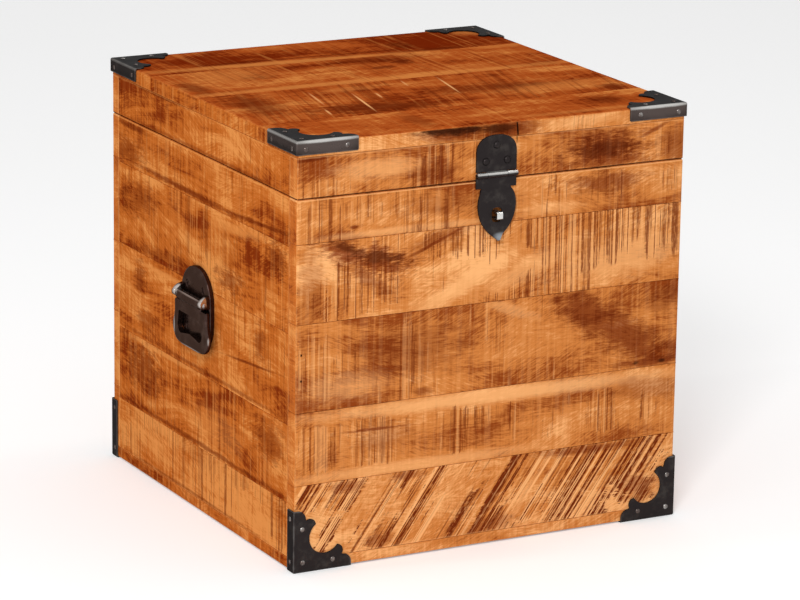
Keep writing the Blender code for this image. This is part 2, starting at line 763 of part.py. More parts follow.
def headed_pin_mesh(name, radius, half_length, head_radius, head_height):
    """A pin along X with a low domed head on each end, as one turned piece."""
    profile = [
        (-half_length - head_height, head_radius * HEAD_CROWN),
        (-half_length - head_height * HEAD_SHOULDER_HEIGHT, head_radius * HEAD_SHOULDER),
        (-half_length, head_radius),
        (-half_length, radius),
    ]
    profile += [(-x, r) for x, r in reversed(profile)]
    bm = bmesh.new()
    rings = []
    for x, r in profile:
        ring = []
        for step in range(HOLE_SIDES):
            angle = 2 * math.pi * step / HOLE_SIDES
            ring.append(bm.verts.new((x, r * math.cos(angle), r * math.sin(angle))))
        rings.append(ring)
    for near, far in zip(rings, rings[1:]):
        for step in range(HOLE_SIDES):
            following = (step + 1) % HOLE_SIDES
            bm.faces.new((near[step], near[following], far[following], far[step]))
    bm.faces.new(rings[0])
    bm.faces.new(rings[-1])
    return smooth(mesh_of(bm, name))


def build_hasp(lid_axis):
    place = face_frame("front", 0, HASP_AXIS, HASP_OUT)
    add_object("hasp_plate", hasp_plate_mesh(), black_steel("hasp_plate"), place, lid_axis)
    add_object("hasp_strap", strap_mesh(), black_steel("hasp_strap"), place, lid_axis)
    pin = headed_pin_mesh("hasp_pin", HASP_PIN_RADIUS, HASP_HALF_WIDTH + GAP,
                          HASP_PIN_HEAD_RADIUS, HASP_PIN_HEAD)
    add_object("hasp_pin", pin, black_steel("hasp_pin"), place, lid_axis)


def staple_line(inset):
    """Half round the staple's bent strip, as (out, height) points, inside its outer face."""
    crown = STAPLE_REACH - inset
    half = STAPLE_EYE_HEIGHT / 2 + STAPLE_STRIP - inset
    radius = STAPLE_CORNER - inset
    lower = arc((crown - radius, radius - half), radius, -90, 0, CORNER_STEPS)
    upper = arc((crown - radius, half - radius), radius, 0, 90, CORNER_STEPS)
    return [(-STAPLE_LEG_DEPTH, -half)] + lower + upper + [(-STAPLE_LEG_DEPTH, half)]


def build_staple():
    """A bent strip whose two legs are driven into the front, with a hole for each leg."""
    half_width = STAPLE_STRIP_WIDTH / 2
    profile = staple_line(0) + list(reversed(staple_line(STAPLE_STRIP)))
    strip = smooth(mesh_of(bar_along_x(profile, -half_width, half_width), "staple"))
    height = HASP_AXIS - SLOT_DROP
    place = face_frame("front", 0, height, 0)
    add_object("staple", strip, bright_steel("staple"), place)
    nearest = STAPLE_EYE_HEIGHT / 2 - GAP
    furthest = STAPLE_EYE_HEIGHT / 2 + STAPLE_STRIP + GAP
    deepest = -STAPLE_LEG_DEPTH - STAPLE_HOLE_SPARE
    holes = []
    for low, high in ((nearest, furthest), (-furthest, -nearest)):
        section = [(deepest, low), (CUT_PAST, low), (CUT_PAST, high), (deepest, high)]
        bm = bar_along_x(section, -half_width - GAP, half_width + GAP)
        holes.append(mesh_of(bm, "staple_hole"))
    cutter = add_object("staple_holes_cutter", union(*holes), None, place)
    cutter.hide_render = True
    cutter.display_type = 'WIRE'
    strips = panel_strips(WALL_BOTTOM, BODY_TOP, FRONT_BOARDS)
    for number, (low, high) in enumerate(strips, 1):
        if low < height + furthest and high > height - furthest:
            drill = bpy.data.objects[f"front_board_{number}"].modifiers.new("holes", 'BOOLEAN')
            drill.operation = 'DIFFERENCE'
            drill.solver = 'EXACT'
            drill.object = cutter


# Side handles

def oblong(half_width, rise):
    """Two half circles whose centres lie above and below the middle."""
    outline = arc((0, rise), half_width, 0, 180, PLATE_STEPS)
    return outline + arc((0, -rise), half_width, 180, 360, PLATE_STEPS)


def handle_plate_mesh():
    """An oblong plate with a bevelled rim, two lugs and four countersunk holes."""
    half_width = HANDLE_PLATE_WIDTH / 2
    rise = HANDLE_PLATE_HEIGHT / 2 - half_width
    face = GAP + HANDLE_PLATE_THICKNESS
    bm = prism(oblong(half_width, rise), GAP, face)
    bevel_edges(bm, edges_at_height(bm, face), HANDLE_PLATE_BEVEL, ARRIS_SEGMENTS)
    mesh = mesh_of(bm, "handle_plate")
    for x in (-HANDLE_SCREW_SIDE, HANDLE_SCREW_SIDE):
        for y in (-HANDLE_SCREW_HEIGHT, HANDLE_SCREW_HEIGHT):
            mesh = cut(mesh, screw_hole(x, y, face))
    axis = HANDLE_AXIS_ABOVE_CENTRE
    root = GAP + HANDLE_PLATE_THICKNESS / 2
    nose = curve_through([(HANDLE_OUT + out, axis + up) for out, up in LUG_NOSE])
    profile = [(root, axis - LUG_UNDERSIDE)] + nose + [(root, axis + LUG_TOP)]
    for start, end in ((-LUG_OUTER, -LUG_INNER), (LUG_INNER, LUG_OUTER)):
        lug = bar_along_x(profile, start, end)
        rim = [edge for edge in lug.edges
               if abs(edge.verts[0].co.x - edge.verts[1].co.x) < 1e-6
               and max(vert.co.z for vert in edge.verts) > root + 1e-6]
        bevel_edges(lug, rim, LUG_BEVEL, ARRIS_SEGMENTS)
        trim = mesh_of(prism(oblong(half_width - LUG_INSET, rise), 0, 2 * HANDLE_OUT), "trim")
        mesh = union(mesh, combine(mesh_of(lug, "handle_lug"), trim, 'INTERSECT'))
    bore = rod_along_x(HANDLE_PIN_RADIUS + GAP, -2 * LUG_OUTER, 2 * LUG_OUTER,
                       HANDLE_OUT, axis, HOLE_SIDES)
    return smooth(cut(mesh, mesh_of(bore, "handle_bore")))


def screw_hole(x, y, face):
    """A countersunk hole's cutter, turned about Z."""
    sink = SCREW_SINK_RADIUS - SCREW_HOLE_RADIUS
    profile = ((SCREW_HOLE_RADIUS, -CUT_PAST), (SCREW_HOLE_RADIUS, face - sink),
               (SCREW_SINK_RADIUS, face), (SCREW_SINK_RADIUS, face + CUT_PAST))
    bm = bmesh.new()
    rings = []
    for radius, height in profile:
        circle = arc((x, y), radius, 0, 360, HOLE_SIDES)[:-1]
        rings.append([bm.verts.new((px, py, height)) for px, py in circle])
    for low, high in zip(rings, rings[1:]):
        for step in range(HOLE_SIDES):
            following = (step + 1) % HOLE_SIDES
            bm.faces.new((low[step], low[following], high[following], high[step]))
    bm.faces.new(rings[0])
    bm.faces.new(rings[-1])
    return mesh_of(bm, "screw_hole")


def bail_outline():
    """Half of the bail's outer edge, from the top of the apron to the grip's middle."""
    shoulder = BAIL_SHOULDER
    grip = BAIL_GRIP_HALF_WIDTH
    inner = BAIL_BAR_LENGTH / 2 - BAIL_EDGE
    top = [(inner, -BAIL_BAR_RADIUS / 2), (inner, -BAIL_SHOULDER_DROP)]
    corner_centre = (shoulder - BAIL_EDGE, -BAIL_SHOULDER_DROP - BAIL_EDGE)
    corner = arc(corner_centre, BAIL_EDGE, 90, 0, CORNER_STEPS)
    arm = curve_through([
        (shoulder, -BAIL_WAIST_DROP),
        (shoulder + BAIL_ARM_SPREAD * (grip - shoulder), -(BAIL_WAIST_DROP + BAIL_GRIP_DROP) / 2),
        (grip, -BAIL_GRIP_DROP),
        (grip - BAIL_CORNER_SIDE, -BAIL_GRIP_DROP - BAIL_CORNER_DROP),
        (grip - BAIL_HEEL_SIDE, BAIL_HEEL_RISE - BAIL_REACH),
        (BAIL_FLAT_HALF_WIDTH, -BAIL_REACH),
    ])
    return top + corner + arm


def bail_opening():
    """The finger gap: straight top, round lower corners, grip swelled for the palm."""
    half = BAIL_OPENING_HALF_WIDTH
    inset = half - BAIL_OPENING_TAPER
    corner_centre = (inset - BAIL_EDGE, -BAIL_OPENING_TOP - BAIL_EDGE)
    low = BAIL_GRIP_THICKNESS - BAIL_REACH
    upper = arc(corner_centre, BAIL_EDGE, 90, 0, CORNER_STEPS)
    lower = curve_through([
        (half, low + BAIL_OPENING_SIDE_FOOT),
        (inset, low + BAIL_OPENING_CORNER_RISE),
        (BAIL_OPENING_FLAT, low),
        (BAIL_PALM_HALF_WIDTH, low + BAIL_PALM_SWELL / 2),
        (0, low + BAIL_PALM_SWELL),
    ])
    return mirrored(upper + lower)


def bail_mesh():
    """A drop bail: bored bar with a flat stop on top, apron, arms and thick grip."""
    front = BAIL_THICKNESS / 2 - BAIL_SET_BACK
    back = front - BAIL_THICKNESS
    slab = prism(mirrored(bail_outline()), back, front)
    rim = edges_at_height(slab, front) + edges_at_height(slab, back)
    bevel_edges(slab, rim, BAIL_EDGE, BEND_SEGMENTS)
    gap = prism(bail_opening(), back - CUT_PAST, front + CUT_PAST)
    mesh = cut(mesh_of(slab, "bail"), mesh_of(gap, "bail_gap"))
    profile = arc((0, 0), BAIL_BAR_RADIUS, 270, 90, BARREL_SIDES // 2)
    flat_end = BAIL_BAR_FRONT - BAIL_BAR_CHAMFER
    chamfer_end = BAIL_BAR_RADIUS - BAIL_BAR_CHAMFER
    profile += [(flat_end, BAIL_BAR_RADIUS), (BAIL_BAR_FRONT, chamfer_end),
                (BAIL_BAR_FRONT, -chamfer_end), (flat_end, -BAIL_BAR_RADIUS)]
    bar = bar_along_x(profile, -BAIL_BAR_LENGTH / 2, BAIL_BAR_LENGTH / 2)
    bore = rod_along_x(HANDLE_PIN_RADIUS + GAP, -BAIL_BAR_LENGTH, BAIL_BAR_LENGTH,
                       sides=HOLE_SIDES)
    mesh = union(mesh, mesh_of(bar, "bail_bar"))
    return smooth(cut(mesh, mesh_of(bore, "bail_bore")))


def build_handles():
    plate = handle_plate_mesh()
    bail = bail_mesh()
    pin = headed_pin_mesh("handle_pin", HANDLE_PIN_RADIUS, LUG_OUTER + GAP,
                          HANDLE_PIN_HEAD_RADIUS, HANDLE_PIN_HEAD)
    for side in ("left", "right"):
        base = face_frame(side, 0, HANDLE_HEIGHT, 0)
        hub = face_frame(side, 0, HANDLE_HEIGHT + HANDLE_AXIS_ABOVE_CENTRE, HANDLE_OUT)
        for piece, mesh, place in (("plate", plate, base), ("bail", bail, hub),
                                   ("pin", pin, hub)):
            name = f"{side}_handle_{piece}"
            add_object(name, mesh, cast_iron(name), place)


# Hinges

def hinge_leaf_outline(knuckles):
    """A leaf that hangs below the axis, with a tab over the barrel for each knuckle.

    The knuckles are given from left to right as stretches along the axis.
    """
    clear = HINGE_BARREL_RADIUS + GAP
    half = HINGE_WIDTH / 2
    low = HINGE_CORNER - HINGE_LEAF
    outline = arc((HINGE_CORNER - half, low), HINGE_CORNER, 180, 270, CORNER_STEPS)
    outline += arc((half - HINGE_CORNER, low), HINGE_CORNER, 270, 360, CORNER_STEPS)
    at_edge = knuckles[-1][1] >= half
    if not at_edge:
        outline.append((half, -clear))
    for start, end in reversed(knuckles):
        tab = [(end, -clear), (end, 2 * clear), (start, 2 * clear), (start, -clear)]
        outline += tab[1:] if end >= half else tab
    if at_edge:
        return outline[:-1]
    return outline + [(-half, -clear)]


def hinge_leaf_mesh(name, knuckles, above):
    """A leaf rolled into its knuckles, above or below the axis that is its origin."""
    outline = hinge_leaf_outline(knuckles)
    back = GAP - HINGE_OUT
    profile = rolled_profile([(back, 0), (back, -HINGE_LEAF - HINGE_CORNER)], HINGE_SHEET,
                             HINGE_BARREL_RADIUS)
    if above:
        outline = flipped(outline)
        profile = flipped(profile)
    return rolled_piece(name, profile, outline, HINGE_PIN_RADIUS + GAP)


def build_hinges(lid_axis):
    """Two butt hinges on the back face: the body leaf has the two outer knuckles."""
    half = HINGE_WIDTH / 2
    centre = HINGE_CENTRE_KNUCKLE / 2
    outer = ((-half, -centre - GAP), (centre + GAP, half))
    body_leaf = hinge_leaf_mesh("hinge_body_leaf", outer, False)
    lid_leaf = hinge_leaf_mesh("hinge_lid_leaf", ((-centre, centre),), True)
    pin = headed_pin_mesh("hinge_pin", HINGE_PIN_RADIUS, half + GAP,
                          HINGE_PIN_HEAD_RADIUS, HINGE_PIN_HEAD)
    across_left = -LEFT - HINGE_FROM_SIDE
    for side, across in (("left", across_left), ("right", -across_left)):
        place = face_frame("back", across, SEAM, HINGE_OUT)
        for piece, mesh, parent in (("body_leaf", body_leaf, None), ("pin", pin, None),
                                    ("lid_leaf", lid_leaf, lid_axis)):
            name = f"{side}_hinge_{piece}"
            add_object(name, mesh, black_steel(name), place, parent)


def main():
    clear_scene()
    lid_axis = add_axis("lid_axis", face_frame("back", 0, SEAM, HINGE_OUT))
    build_bottom()
    build_body_walls()
    build_lid(lid_axis)
    build_braces(lid_axis)
    build_hasp(lid_axis)
    build_staple()
    build_handles()
    build_hinges(lid_axis)


if __name__ == "__main__":
    main()
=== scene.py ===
"""Looks of the wooden storage box: sawn boards, blackened hardware and a studio.

Laid out as a Blender add-on and run as a script. Lengths are in metres, in the
frame of the CAD model: +X along the front, +Y to the back, +Z up.
"""

import math

import bmesh
import bpy
from bpy.props import FloatProperty, FloatVectorProperty, PointerProperty
from mathutils import Matrix, Vector, noise


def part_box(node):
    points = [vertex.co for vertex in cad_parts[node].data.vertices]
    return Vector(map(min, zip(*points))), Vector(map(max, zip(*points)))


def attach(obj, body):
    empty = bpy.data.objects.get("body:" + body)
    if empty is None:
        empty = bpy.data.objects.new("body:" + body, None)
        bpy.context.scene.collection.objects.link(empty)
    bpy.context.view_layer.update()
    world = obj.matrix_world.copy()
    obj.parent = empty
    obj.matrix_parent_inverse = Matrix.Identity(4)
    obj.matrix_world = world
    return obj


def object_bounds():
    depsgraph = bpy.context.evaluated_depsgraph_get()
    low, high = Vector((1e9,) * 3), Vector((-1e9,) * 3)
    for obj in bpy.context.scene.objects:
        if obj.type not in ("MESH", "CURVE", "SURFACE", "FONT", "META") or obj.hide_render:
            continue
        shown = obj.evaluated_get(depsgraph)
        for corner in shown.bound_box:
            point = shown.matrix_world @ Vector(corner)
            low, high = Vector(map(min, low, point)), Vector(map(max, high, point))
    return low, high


bl_info = {
    "name": "Wooden storage box",
    "version": (1, 0),
    "blender": (4, 5, 0),
    "location": "3D View > Sidebar > Storage Box",
    "description": "Dresses the storage box's boards and hardware and sets up its studio",
    "category": "Object",
}

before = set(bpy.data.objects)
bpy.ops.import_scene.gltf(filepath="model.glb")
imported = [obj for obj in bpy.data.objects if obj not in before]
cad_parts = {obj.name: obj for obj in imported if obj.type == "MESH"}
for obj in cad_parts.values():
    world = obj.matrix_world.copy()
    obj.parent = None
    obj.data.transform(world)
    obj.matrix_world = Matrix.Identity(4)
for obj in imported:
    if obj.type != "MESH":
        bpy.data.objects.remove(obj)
CAD_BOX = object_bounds()

# Gap that the CAD leaves where faces touch on the real box
SEAT_GAP = 0.0003


def tone(red, green, blue):
    """An 8-bit colour as the linear values that a shader takes."""
    levels = []
    for level in (red, green, blue):
        value = level / 255
        levels.append(value / 12.92 if value <= 0.04045 else ((value + 0.055) / 1.055) ** 2.4)
    return tuple(levels)


def colour_property(name, description, red, green, blue):
    """A colour setting, with its default given in 8 bits."""
    return FloatVectorProperty(name=name, description=description, subtype='COLOR', size=3,
                               min=0.0, max=1.0, default=tone(red, green, blue))


def length_property(name, description, metres):
    """A length setting, with its default in metres."""
    return FloatProperty(name=name, description=description, subtype='DISTANCE',
                         unit='LENGTH', min=0.0, precision=5, default=metres)


class WoodSettings(bpy.types.PropertyGroup):
    """Tones and saw marks of the boards."""
    # The side and top tones are darker than the front's: partly the wood's own tone, partly painted
    # shade on faces that get less light
    front_light: colour_property("Front light", "Palest figure of the front boards", 250, 182, 118)
    front_body: colour_property("Front body", "Main tone of the front boards", 208, 127, 62)
    front_dark: colour_property("Front dark", "Darkest figure of the front boards", 142, 64, 22)
    side_light: colour_property("Side light", "Palest figure of the side boards", 228, 148, 78)
    side_body: colour_property("Side body", "Main tone of the side boards", 194, 103, 38)
    side_dark: colour_property("Side dark", "Darkest figure of the side boards", 130, 48, 12)
    top_light: colour_property("Top light", "Palest figure of the lid's top boards", 218, 134, 66)
    top_body: colour_property("Top body", "Main tone of the lid's top boards", 178, 82, 30)
    top_dark: colour_property("Top dark", "Darkest figure of the lid's top boards", 120, 36, 6)
    burn: colour_property("Saw burn", "Colour in the saw marks and stains", 112, 42, 13)
    # This colour is also painted shade: in the lid's seam and behind the slot of the hasp's strap
    hole: colour_property("Hole", "Colour of nail holes, cracks and the lid's seam", 26, 12, 7)
    saw_marks: FloatProperty(name="Saw marks", description="Strength of the dark saw marks",
                             subtype='FACTOR', min=0.0, max=1.0, default=0.85)
    # Pale board edges: partly wear, partly painted highlight on the arrises
    edge_wear_and_highlight: FloatProperty(name="Edge wear", description="How pale the boards' edges are",
                             subtype='FACTOR', min=0.0, max=1.0, default=0.35)
    relief: length_property("Relief", "Depth of the saw marks and grain", 0.0004)


class HardwareSettings(bpy.types.PropertyGroup):
    """Finishes of the metal and sizes of the nails and screws."""
    black_steel: colour_property("Black steel", "Blackened sheet steel", 45, 40, 40)
    # A darker copy of the black steel for the lid's braces: painted shade
    shaded_lid_steel: colour_property("Lid steel", "Darker steel of the lid's braces", 30, 24, 23)
    steel_bloom: colour_property("Steel bloom", "Grey bloom on the black steel", 78, 73, 69)
    # Flanges of the lid's braces painted lighter where they face the light, and the brace nails'
    # steel
    lit_flange_and_nail_steel: colour_property("Flange steel", "Rubbed faces of the lid's braces", 90, 79, 75)
    # Also the painted highlights on the braces' bends and on the hasp's barrel
    bare_steel_and_highlight: colour_property("Bare steel", "Steel rubbed bare on edges", 196, 194, 190)
    # Painted reflection on the tip of the hasp's strap
    strap_tip_reflection: colour_property("Steel tip", "Polished tip of the hasp's strap", 150, 156, 162)
    # Also the painted shade under the hasp's barrel
    cast_iron: colour_property("Cast iron", "Enamelled handle castings", 62, 46, 42)
    iron_rub: colour_property("Rubbed iron", "Brown metal where the enamel is rubbed", 104, 84, 76)
    # Painted highlight on the handles' lug noses, bail grip and sides
    iron_highlight: colour_property("Polished iron", "Lug noses of the handles", 200, 190, 184)
    # Painted highlight on the ridge between the handles' lugs
    iron_ridge_highlight: colour_property("Iron glint", "Rubbed ridges of the handles", 140, 122, 114)
    zinc: colour_property("Zinc", "Bright plated staple", 214, 213, 210)
    nail_radius: length_property("Nail head", "Radius of a brace nail's head", 0.0024)
    nail_height: length_property("Nail height", "Height of a brace nail's head", 0.0008)
    hasp_nail_radius: length_property("Hasp nail head", "Radius of a hasp nail's head", 0.0036)
    hasp_nail_height: length_property("Hasp nail height", "Height of a hasp nail's head", 0.0021)
    hinge_screw_radius: length_property("Hinge screw", "Radius of a hinge screw's head", 0.0030)
    casting_radius: length_property("Casting radius", "Rounding of the castings' edges", 0.0012)
    edge_radius: length_property("Edge radius", "Rounding of the sheet metal's edges", 0.0005)


class StudioSettings(bpy.types.PropertyGroup):
    """Floor, lights and camera."""
    floor: colour_property("Floor", "Colour of the floor", 246, 246, 246)
    key_power: FloatProperty(name="Key light", description="Power of the main softbox",
                             unit='POWER', min=0.0, default=54.0)
    fill_level: FloatProperty(name="Fill level", description="Light from all round",
                              min=0.0, default=0.56)
    floor_glow: FloatProperty(name="Floor glow", description="How far the floor is lit to white",
                              min=0.0, default=0.245)
    lens: FloatProperty(name="Lens", description="Focal length for a 36 mm wide sensor",
                        subtype='DISTANCE_CAMERA', unit='CAMERA', default=176.57)


# Shader building

class Bench:
    """Adds nodes to one tree, each with its inputs given as values or sockets."""

    def __init__(self, tree):
        self.tree = tree

    def add(self, kind, inputs=None, **settings):
        node = self.tree.nodes.new("ShaderNode" + kind)
        for name, value in settings.items():
            setattr(node, name, value)
        for name, value in (inputs or {}).items():
            if isinstance(value, bpy.types.NodeSocket):
                self.tree.links.new(value, node.inputs[name])
            else:
                node.inputs[name].default_value = value
        return node

    def calc(self, operation, first, second=0.0, third=0.0, clamp=False):
        inputs = {0: first, 1: second, 2: third}
        return self.add("Math", inputs, operation=operation, use_clamp=clamp).outputs[0]

    def vector(self, operation, first, second):
        return self.add("VectorMath", {0: first, 1: second}, operation=operation).outputs[0]

    def parts(self, vector):
        return self.add("SeparateXYZ", {0: vector}).outputs

    def join(self, x=0.0, y=0.0, z=0.0):
        return self.add("CombineXYZ", {0: x, 1: y, 2: z}).outputs[0]

    def speckle(self, vector, detail=2.0, roughness=0.5):
        """Noise of unit scale, so the vector carries the scale of each direction."""
        inputs = {"Vector": vector, "Scale": 1.0, "Detail": detail, "Roughness": roughness}
        return self.add("TexNoise", inputs).outputs[0]

    def ease(self, value, low, high, to_low=0.0, to_high=1.0):
        inputs = {"Value": value, "From Min": low, "From Max": high,
                  "To Min": to_low, "To Max": to_high}
        return self.add("MapRange", inputs, interpolation_type='SMOOTHSTEP').outputs[0]

    def blend(self, share, first, second, how='MIX'):
        inputs = {0: share, 6: first, 7: second}
        return self.add("Mix", inputs, data_type='RGBA', blend_type=how).outputs[2]

    def group(self, name, inputs):
        """The outputs of a node group, which is built the first time it is asked for."""
        if name not in bpy.data.node_groups:
            GROUPS[name](name)
        return self.add("Group", inputs, node_tree=bpy.data.node_groups[name]).outputs

    def finish_surface(self, shader, colour, rough, height, strength, distance):
        """Feed a surface's colour, roughness and relief into its shader."""
        bump = self.add("Bump", {"Strength": strength, "Distance": distance, "Height": height})
        self.tree.links.new(colour, shader.inputs["Base Color"])
        self.tree.links.new(rough, shader.inputs["Roughness"])
        self.tree.links.new(bump.outputs[0], shader.inputs["Normal"])


def new_material(name):
    """A new material, with its bench and its Principled shader."""
    material = bpy.data.materials.new(name)
    material.use_nodes = True
    return material, Bench(material.node_tree), material.node_tree.nodes["Principled BSDF"]


def shader_group(name, inputs, outputs):
    """A new node group, with its bench, its input sockets by name and its end node."""
    tree = bpy.data.node_groups.new(name, 'ShaderNodeTree')
    for label, kind, value in inputs:
        socket = tree.interface.new_socket(label, in_out='INPUT', socket_type="NodeSocket" + kind)
        if value is not None:
            socket.default_value = value
    for label, kind in outputs:
        tree.interface.new_socket(label, in_out='OUTPUT', socket_type="NodeSocket" + kind)
    start = tree.nodes.new("NodeGroupInput")
    end = tree.nodes.new("NodeGroupOutput")
    return Bench(tree), start.outputs, end.inputs


# Scales of the grain's parts along, across and into a board, in waves per metre
DRIFT = (6.0, 13.0, 13.0)
CLOUDS = (11.0, 26.0, 20.0)
BANDS = (6.0, 150.0, 60.0)
RIPPLE = (240.0, 18.0, 15.0)
HAIRS = (95.0, 640.0, 640.0)
LEAN = (10.0, 24.0, 24.0)

# How far the growth bands wander across a board
DRIFT_REACH = 0.07

# Angles at which the short fibres cross a board, in degrees
HAIR_ANGLES = (22.0, 2.0, -24.0)


def build_board_grain(name):
    """Figure of one board: clouds, growth bands and crossing fibres along X of its position."""
    bench, given, made = shader_group(name, (
        ("Position", "Vector", None), ("Seed", "Float", 0.0),
        ("Light", "Color", None), ("Body", "Color", None), ("Dark", "Color", None),
        ("Cloud", "Float", 1.0), ("Figure", "Float", 1.0), ("Shift", "Float", 0.0),
    ), (("Color", "Color"), ("Fibre", "Float")))
    offset = bench.join(bench.calc('MULTIPLY', given["Seed"], 3.71),
                        bench.calc('MULTIPLY', given["Seed"], 1.93),
                        bench.calc('MULTIPLY', given["Seed"], 2.57))
    place = bench.vector('ADD', given["Position"], offset)
    drift = bench.speckle(bench.vector('MULTIPLY', place, DRIFT), 1.0)
    drift = bench.calc('MULTIPLY_ADD', drift, DRIFT_REACH, -DRIFT_REACH / 2)
    grain = bench.vector('ADD', place, bench.join(0.0, drift, 0.0))
    cloud = bench.speckle(bench.vector('MULTIPLY', place, CLOUDS), 3.0, 0.55)
    bands = bench.speckle(bench.vector('MULTIPLY', grain, BANDS), 3.0, 0.7)
    ripple = bench.speckle(bench.vector('MULTIPLY', place, RIPPLE), 4.0, 0.7)

    def hairs(angle):
        """Short fibres that lie at an angle to the board's length."""
        turned = bench.add("VectorRotate", {"Vector": place, "Angle": math.radians(angle)},
                           rotation_type='Z_AXIS').outputs[0]
        return bench.speckle(bench.vector('MULTIPLY', turned, HAIRS), 3.0, 0.7)

    lean = bench.speckle(bench.vector('MULTIPLY', place, LEAN), 1.0)
    rising, level, falling = (hairs(angle) for angle in HAIR_ANGLES)
    fibre = bench.blend(bench.ease(lean, 0.36, 0.46), rising, level)
    fibre = bench.blend(bench.ease(lean, 0.46, 0.56), fibre, falling)
    fibre = bench.parts(fibre)[0]
    # The figure's value: one half and the shift, swayed by clouds, bands, ripple and fibres
    value = bench.calc('ADD', given["Shift"], 0.5)
    value = bench.calc('MULTIPLY_ADD', bench.calc('SUBTRACT', cloud, 0.5), given["Cloud"], value)
    figure = bench.calc('MULTIPLY', bench.calc('SUBTRACT', bands, 0.5), 0.75)
    figure = bench.calc('MULTIPLY_ADD', bench.calc('SUBTRACT', ripple, 0.5), 0.9, figure)
    value = bench.calc('MULTIPLY_ADD', figure, given["Figure"], value)
    value = bench.calc('MULTIPLY_ADD', bench.calc('SUBTRACT', fibre, 0.5), 0.95, value)
    lower = bench.ease(value, 0.08, 0.50)
    upper = bench.ease(value, 0.48, 0.94)
    colour = bench.blend(lower, given["Dark"], given["Body"])
    colour = bench.blend(upper, colour, given["Light"])
    bench.tree.links.new(colour, made["Color"])
    bench.tree.links.new(fibre, made["Fibre"])


# Streaks of a saw per metre: the broad and the dense ones at a weight of one, the fine
# ones, how often a stroke starts or ends, how strokes gather, and their ragged breaks
BROAD_STREAKS = 230.0
DENSE_STREAKS = 400.0
FINE_STREAKS = 520.0
STROKES = 240.0
STROKE_GROUPS = 17.0
BREAKS = 700.0


def build_saw_marks(name):
    """Straight streaks that a saw left across the grain, at an angle, in patches."""
    bench, given, made = shader_group(name, (
        ("Position", "Vector", None), ("Seed", "Float", 0.0), ("Angle", "Float", 0.0),
        ("Pitch", "Float", 0.007), ("Coverage", "Float", 0.5), ("Length", "Float", 0.05),
        ("Even", "Float", 0.3), ("Weight", "Float", 1.0), ("Dense", "Float", 0.4),
    ), (("Marks", "Float"), ("Pale Lit Ridges", "Float")))
    along, across, depth = bench.parts(given["Position"])[:3]
    turn_cos = bench.calc('COSINE', given["Angle"])
    turn_sin = bench.calc('SINE', given["Angle"])
    side = bench.calc('MULTIPLY_ADD', along, turn_cos, bench.calc('MULTIPLY', across, turn_sin))
    run = bench.calc('SUBTRACT', bench.calc('MULTIPLY', across, turn_cos),
                     bench.calc('MULTIPLY', along, turn_sin))
    shift = bench.calc('MULTIPLY', given["Seed"], 5.3)
    deep = bench.calc('MULTIPLY_ADD', depth, 40.0, shift)

    def streaks(across_rate, along_rate, detail=1.0):
        """Noise at its own rates across and along the streaks."""
        return bench.speckle(bench.join(bench.calc('MULTIPLY', side, across_rate),
                                        bench.calc('MULTIPLY', run, along_rate), deep), detail)

    # The streaks themselves: broad and fine ones, dense bundles, and evenly spaced lines
    broad = streaks(bench.calc('DIVIDE', BROAD_STREAKS, given["Weight"]), 1.6)
    dense = streaks(bench.calc('DIVIDE', DENSE_STREAKS, given["Weight"]), 2.2)
    bundle = bench.calc('MULTIPLY', bench.ease(given["Coverage"], 0.5, 0.8), given["Dense"])
    fine = streaks(FINE_STREAKS, 5.0)
    wander = streaks(34.0, 0.8)
    turns = bench.calc('DIVIDE', side, given["Pitch"])
    turns = bench.calc('FRACT', bench.calc('MULTIPLY_ADD', wander, 1.8, turns))
    ridge = bench.calc('ABSOLUTE', bench.calc('SUBTRACT', turns, 0.5))
    even = bench.calc('MULTIPLY', bench.ease(ridge, 0.13, 0.04), given["Even"])
    wide = bench.ease(broad, 0.60, 0.64)
    dense = bench.calc('MULTIPLY', bench.ease(dense, 0.53, 0.59), bundle)
    wide = bench.calc('MAXIMUM', wide, dense)
    thin = bench.ease(fine, 0.57, 0.65, 0.0, 0.75)
    # Pale lines between the streaks: partly paler wood, partly painted highlight on the ridges
    # between the marks
    pale = bench.calc('MAXIMUM', bench.ease(broad, 0.46, 0.38), bench.ease(fine, 0.38, 0.28))
    marks = bench.calc('MAXIMUM', bench.calc('MAXIMUM', wide, thin), even)
    # Where they lie: each stroke has its own start and end, and strokes gather in groups
    rate = bench.calc('DIVIDE', 0.75, given["Length"])
    each = streaks(STROKES, rate, 2.0)
    group = streaks(STROKE_GROUPS, 12.0, 2.0)
    cover = bench.calc('MULTIPLY_ADD', bench.calc('SUBTRACT', each, 0.5), 1.9,
                       bench.calc('SUBTRACT', given["Coverage"], 0.5))
    cover = bench.calc('MULTIPLY_ADD', bench.calc('SUBTRACT', group, 0.5), 2.0, cover)
    present = bench.ease(cover, -0.10, 0.16)
    # Breaks that leave the strokes ragged
    ragged = streaks(BREAKS, 160.0, 2.0)
    marks = bench.calc('MULTIPLY', marks, bench.ease(ragged, 0.30, 0.52, 0.45, 1.0))
    bench.tree.links.new(bench.calc('MULTIPLY', marks, present), made["Marks"])
    reach = bench.ease(present, 0.0, 1.0, 0.25, 1.0)
    bench.tree.links.new(bench.calc('MULTIPLY', pale, reach), made["Pale Lit Ridges"])


def rough_outline(bench, place, hair=0.0):
    """Noise that roughens the outlines of all patches on one surface."""
    rough = bench.speckle(bench.vector('MULTIPLY', place, (55.0, 120.0, 0.0)), 5.0, 0.7)
    if hair == 0.0:
        return rough
    fibres = bench.speckle(bench.vector('MULTIPLY', place, (110.0, 750.0, 0.0)), 3.0, 0.7)
    return bench.calc('MULTIPLY_ADD', bench.calc('SUBTRACT', fibres, 0.5), hair, rough)


